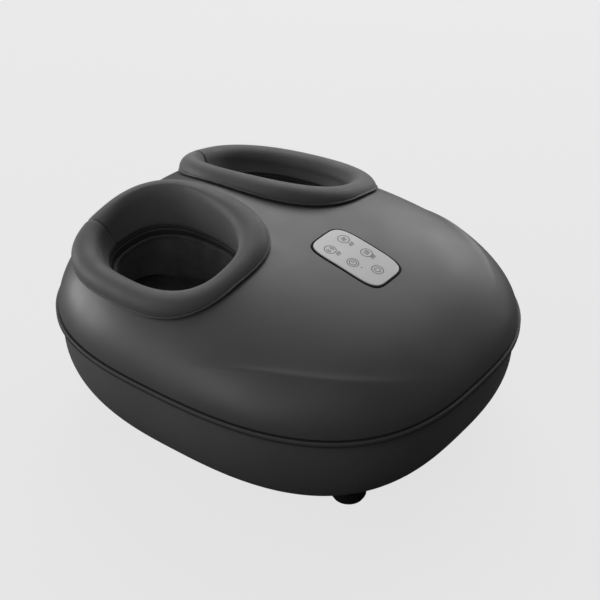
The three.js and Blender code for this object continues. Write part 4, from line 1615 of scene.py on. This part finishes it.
@dataclass
class ControlPanel:
    """Satin metal plate with printed touch marks, in a dark frame."""

    form: PanelForm
    edge: float = 0.55
    bezel_inner: Pair = (0.15, 0.2)
    bezel_outer: tuple[Pair, ...] = ((0.5, 0.0), (0.1, 0.4))
    plate_rings: tuple[float, ...] = (0.85, 0.7, 0.5, 0.3, 0.15, 0.05)
    mark_width: float = 0.75
    ring_radius: float = 5.6
    print_height: float = 0.04
    print_share: float = 0.9
    spacing: float = 1.7
    buttons: tuple[Pair, ...] = ((11.2, 23.1), (-10.8, 22.4), (11.3, -3.7), (-10.0, -3.3), (-0.2, -24.7))
    labels: tuple[Pair, ...] = ((10.8, 13.7), (-9.6, 13.7), (11.4, -11.1))
    lamp_dot: Pair = (-9.5, -13.0)

    def plate(self) -> None:
        """The plate: a shallow tray turned upside down, with a rounded upper edge."""
        form, edge, top = self.form, self.edge, self.form.proud
        line = [(None, top), *((-form.breadth / 2 * share, top) for share in self.plate_rings)]
        line += bow((-edge, top - edge), (edge, edge), 90, -22.5, 5)
        low, ceiling = top - form.rim, top - form.sheet
        line += [(0, low), (-form.sheet, low), (-form.sheet, ceiling), (None, ceiling)]
        plate = made_object(form.turned_ring(line), "touch_plate", crease=30)
        mount(plate, PLATE_METAL_AND_PAINTED_REFLECTION, "brushed_metal", "control_plate")

    def bezel(self) -> None:
        """The dark frame round the plate."""
        gap, top, wide = self.form.gap, self.form.bezel_top, self.form.bezel
        low = gap - self.form.seat
        line = [(gap, low), (gap, top - self.bezel_inner[1]), (gap + self.bezel_inner[0], top)]
        line += [(wide - inset, top - drop) for inset, drop in self.bezel_outer] + [(wide, low)]
        bezel = made_object(self.form.turned_ring(line, closed=True), "panel_frame", crease=30)
        mount(bezel, FRAME_PLASTIC, "black_plastic", "control_frame")

    def arc(self, x: float, y: float, radius: float, start: float, sweep: float) -> BMesh:
        """A printed arc.

        Args:
            x: place of its middle across.
            y: place of its middle along.
            radius: its radius.
            start: angle where it starts, in degrees.
            sweep: angle that it goes on for, in degrees.

        Returns:
            The mesh.
        """
        mesh = bmesh.new()
        angle = math.radians(start)
        ends = [radius - self.mark_width / 2, radius + self.mark_width / 2]
        verts = [mesh.verts.new((x + r * math.cos(angle), y + r * math.sin(angle), 0)) for r in ends]
        edge = mesh.edges.new(verts)
        bmesh.ops.spin(
            mesh, geom=[*verts, edge], cent=(x, y, 0), axis=(0, 0, 1), angle=math.radians(sweep),
            steps=max(6, round(abs(sweep) / 6)), use_merge=abs(sweep) > 359,
        )
        return mesh

    def bar(self, x: float, y: float, length: float, turn: float, width: float | None = None) -> BMesh:
        """A printed bar.

        Args:
            x: place of its middle across.
            y: place of its middle along.
            length: its length.
            turn: how far it is turned, in degrees.
            width: its width where that isn't the width of the marks.

        Returns:
            The mesh.
        """
        mesh = bmesh.new()
        size = Matrix.Diagonal((length, width or self.mark_width, 1, 1))
        place = Matrix.Translation((x, y, 0)) @ Matrix.Rotation(math.radians(turn), 4, "Z") @ size
        bmesh.ops.create_grid(mesh, x_segments=4, y_segments=1, size=0.5, matrix=place)
        return mesh

    def signs(self) -> list[BMesh]:
        """Rings with their generic signs, level bars and a small lamp dot.

        Returns:
            The flat meshes.
        """
        parts = [self.arc(x, y, self.ring_radius, 0, 360) for x, y in self.buttons]
        heat, knead, air, timer, power = self.buttons
        for shift in (-self.spacing, 0, self.spacing):
            parts.append(self.arc(heat[0] + shift - 0.7, heat[1] + 1.2, 1.3, -60, 120))
            parts.append(self.arc(heat[0] + shift + 0.6, heat[1] - 1.2, 1.3, 120, 120))
            parts.append(self.bar(air[0] - 0.4, air[1] + shift, 4.4, 0))
            parts.append(self.arc(air[0] + 1.8, air[1] + shift + 0.8, 0.8, -90, 180))
        parts += [self.arc(*knead, radius, start, 110) for radius in (3.4, 1.7) for start in (-55, 125)]
        parts += [self.arc(*timer, 3.4, 0, 360), self.arc(*power, 2.9, 120, 300)]
        parts += [self.bar(timer[0] + 0.8, timer[1], 1.8, 0), self.bar(timer[0], timer[1] + 0.9, 2.0, 90)]
        parts.append(self.bar(power[0], power[1] + 2.3, 2.6, 90))
        parts += [self.bar(x + shift, y, 4.2, 72, 0.95) for x, y in self.labels for shift in (-2.0, 0, 2.0)]
        parts.append(self.arc(*self.lamp_dot, 0.35, 0, 360))
        return parts

    def marks(self) -> None:
        """All printed marks, laid on the plate with a little height."""
        mesh = joined(self.signs())
        bmesh.ops.recalc_face_normals(mesh, faces=mesh.faces)
        for face in mesh.faces:
            if face.normal.z < 0:
                face.normal_flip()
        for vert in mesh.verts:
            vert.co = self.form.bent(vert.co.x, vert.co.y, self.form.proud + self.print_height)
        bmesh.ops.solidify(mesh, geom=mesh.faces, thickness=self.print_height * self.print_share)
        bmesh.ops.transform(mesh, matrix=self.form.place, verts=mesh.verts)
        mount(made_object(mesh, "panel_marks", crease=30), PRINT_INK, "brushed_metal")

    def build(self) -> None:
        """Builds and dresses the panel's pieces."""
        self.plate()
        self.bezel()
        self.marks()


@dataclass
class RubberFoot:
    """One rubber foot with a ringed tread and a sunk screw hole."""

    x: float
    y: float
    node: str
    radius: float = 17.0
    tread: float = 15.2
    shoulder: float = 4.5
    top: float = 14.0
    bore: float = 4.1
    seat: float = 6.0
    screw_bore: float = 2.3
    grooves: Pair = (6.6, 9.6)
    groove_line: tuple[Pair, ...] = ((0.0, 0.0), (0.2, 0.8), (1.2, 0.8), (1.4, 0.0))
    bore_edge: float = 0.6
    tread_edge: tuple[Pair, ...] = ((-1.0, 0.0), (-0.3, 0.3), (0.0, 1.0))
    shoulder_edge: tuple[Pair, ...] = ((-1.2, -2.2), (-0.3, -1.0), (0.0, 0.0))
    segments: int = 72

    def build(self) -> None:
        """Builds and dresses the foot."""
        line = [(self.screw_bore, self.top), (self.screw_bore, self.seat), (self.bore, self.seat)]
        line += [(self.bore, self.bore_edge), (self.bore + self.bore_edge, 0)]
        line += [(start + step, rise) for start in self.grooves for step, rise in self.groove_line]
        line += [(self.tread + step, rise) for step, rise in self.tread_edge]
        line += [(self.radius + step, self.shoulder + rise) for step, rise in self.shoulder_edge]
        line += [(self.radius, self.top), (self.screw_bore, self.top)]
        foot = made_object(spun(line, (self.x, self.y, 0), self.segments), f"rubber_{self.node}", crease=40)
        mount(foot, FOOT_RUBBER, "rubber", self.node)


@dataclass
class InnerWorks:
    """Finishes of the frame's own nodes, which are shown as they are, by the start of their names."""

    finishes: tuple[tuple[Finish, tuple[str, ...]], ...] = (
        (BOARD_LACQUER, ("control_board", "main_board")),
        (PALE_PLASTIC, ("foot_tray", "gear_case", "gear_lid")),
        (DARK_PLASTIC, ("chamber_roof", "air_pump", "valve_block", "power_inlet")),
        (BAG_FILM, ("airbag", "air_hose")),
        (GEAR_PLASTIC, ("worm_shaft", "worm_wheel")),
        (HEAD_PLASTIC, ("massage_head",)),
        (SCREW_STEEL, ("head_screw", "foot_screw", "housing_screw")),
        (MOTOR_STEEL, ("motor",)),
    )

    def build(self) -> None:
        """Dresses every node that no piece stands for."""
        for name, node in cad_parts.items():
            for finish, starts in self.finishes:
                if name.startswith(starts):
                    dress(node, finish)
                    log.info("%s: %s", name, finish.name)


@dataclass
class Studio:
    """Pale floor, soft light and the camera at the photograph's angle; lamps are in metres and watts."""

    eye: Triple = (-928.4, -719.8, 928.3)
    target: Triple = (0.03, -14.25, 122.18)
    lens: float = 87.13
    sensor: float = 36.0
    sight: float = 100.0
    floor_size: float = 12.0
    backdrop: Triple = sheen_grey(231)
    floor_glow: float = 0.93
    floor_shade: float = 0.1
    floor_bounce: float = 0.2
    room_light: float = 0.03
    room_shine: float = 0.2
    lamp_target: Triple = (0, 0, 0.12)
    lamps: tuple[tuple[str, Triple, float, float], ...] = (
        ("left_back", (-2.6, 1.2, 0.45), 1.8, 3),
        ("left_low", (-2.2, 0.5, 0.7), 1.2, 5),
        ("left", (-2.2, -0.4, 1.4), 1.2, 2.5),
        ("rear_low", (-1.0, 2.6, 0.4), 1.6, 43),
        ("rear_right", (1.3, 1.3, 1.8), 1.4, 19.5),
        ("right_low", (2.2, 0.4, 0.7), 1.2, 6.3),
        ("right", (2.1, 0.2, 1.5), 1.2, 9.7),
        ("right_front", (2.4, -0.7, 0.7), 1.4, 4.5),
        ("front_left", (-1.4, -1.2, 2.0), 1.4, 2.6),
        ("above", (0.0, 0.2, 2.6), 1.6, 3),
        ("above_right", (1.1, -0.1, 2.3), 0.9, 2.1),
    )

    def aimed(self, data: bpy.types.ID, place: Vector, target: Vector) -> Piece:
        """Adds a camera or a lamp.

        Args:
            data: the camera or lamp.
            place: where it stands, in metres.
            target: what it faces, in metres.

        Returns:
            Its object.
        """
        thing = bpy.data.objects.new(data.name, data)
        bpy.context.scene.collection.objects.link(thing)
        thing.location = place
        thing.rotation_mode = "QUATERNION"
        thing.rotation_quaternion = (target - place).to_track_quat("-Z", "Y")
        return thing

    def camera(self) -> None:
        """Adds the camera and makes it the scene's."""
        data = bpy.data.cameras.new("camera")
        data.lens = self.lens
        data.sensor_width = self.sensor
        data.clip_end = self.sight
        bpy.context.scene.camera = self.aimed(data, Vector(self.eye) * MM, Vector(self.target) * MM)

    def floor(self) -> None:
        """Adds the plain floor; the camera sees mostly its own pale colour, and the object a dull grey."""
        mesh = bmesh.new()
        bmesh.ops.create_grid(mesh, x_segments=1, y_segments=1, size=self.floor_size / 2 / MM)
        floor = made_object(mesh, "floor")
        material = bpy.data.materials.new("floor")
        material.use_nodes = True
        tree = material.node_tree
        tree.nodes.clear()
        greys = ((grey, grey, grey, 1) for grey in (self.floor_bounce, self.floor_shade))
        plain, lit = (added(tree, "BsdfDiffuse", {"Color": grey}).outputs[0] for grey in greys)
        own = added(tree, "Emission", {"Color": (*self.backdrop, 1), "Strength": self.floor_glow}).outputs[0]
        both = added(tree, "AddShader", {0: lit, 1: own}).outputs[0]
        rays = added(tree, "LightPath", {}).outputs
        pick = added(tree, "MixShader", {"Fac": rays["Is Camera Ray"], 1: plain, 2: both}).outputs[0]
        added(tree, "OutputMaterial", {"Surface": pick})
        floor.data.materials.append(material)

    def world(self) -> None:
        """Sets the room's even light, a pale shine in glossy skins, and the backdrop for the camera."""
        world = bpy.data.worlds.new("room")
        bpy.context.scene.world = world
        world.use_nodes = True
        tree = world.node_tree
        tree.nodes.clear()
        pale, white = (*self.backdrop, 1), (1, 1, 1, 1)
        even, shine, seen = (
            added(tree, "Background", {"Color": color, "Strength": strength}).outputs[0]
            for color, strength in ((white, self.room_light), (pale, self.room_shine), (pale, 1.0))
        )
        rays = added(tree, "LightPath", {}).outputs
        ends = {0: rays["Is Glossy Ray"], 1: rays["Is Transmission Ray"]}
        mirrored_ray = added(tree, "Math", ends, operation="MAXIMUM").outputs[0]
        gloss = added(tree, "MixShader", {"Fac": mirrored_ray, 1: even, 2: shine}).outputs[0]
        pick = added(tree, "MixShader", {"Fac": rays["Is Camera Ray"], 1: gloss, 2: seen}).outputs[0]
        added(tree, "OutputWorld", {"Surface": pick})

    def light(self) -> None:
        """Adds the square soft lamps, which face the object."""
        for name, place, size, power in self.lamps:
            data = bpy.data.lights.new(name, "AREA")
            data.shape = "SQUARE"
            data.size = size
            data.energy = power
            self.aimed(data, Vector(place), Vector(self.lamp_target))

    def build(self) -> None:
        """Builds the floor, the light and the camera."""
        self.camera()
        self.floor()
        self.world()
        self.light()
        bpy.context.scene.view_settings.view_transform = "Standard"


def main() -> None:
    """Builds the pieces in order."""
    logging.basicConfig(level=logging.INFO, format="%(name)s %(message)s")
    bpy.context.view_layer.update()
    body = BodyForm()
    collar = CollarForm(body)
    panel = PanelForm(body)
    Studio().build()
    Cover(body, collar, panel).build()
    tub = Tub(body)
    tub.build()
    for side in Side:
        Collar(collar, side).build()
        Hoop(collar, side).build()
        Lining(collar, side).build()
    ControlPanel(panel).build()
    names = [f"foot_{row}_{side.word}" for row in ("front", "rear") for side in Side]
    for (x, y), name in zip(tub.feet(), names):
        RubberFoot(x, y, name).build()
    InnerWorks().build()


if __name__ == "__main__":
    main()
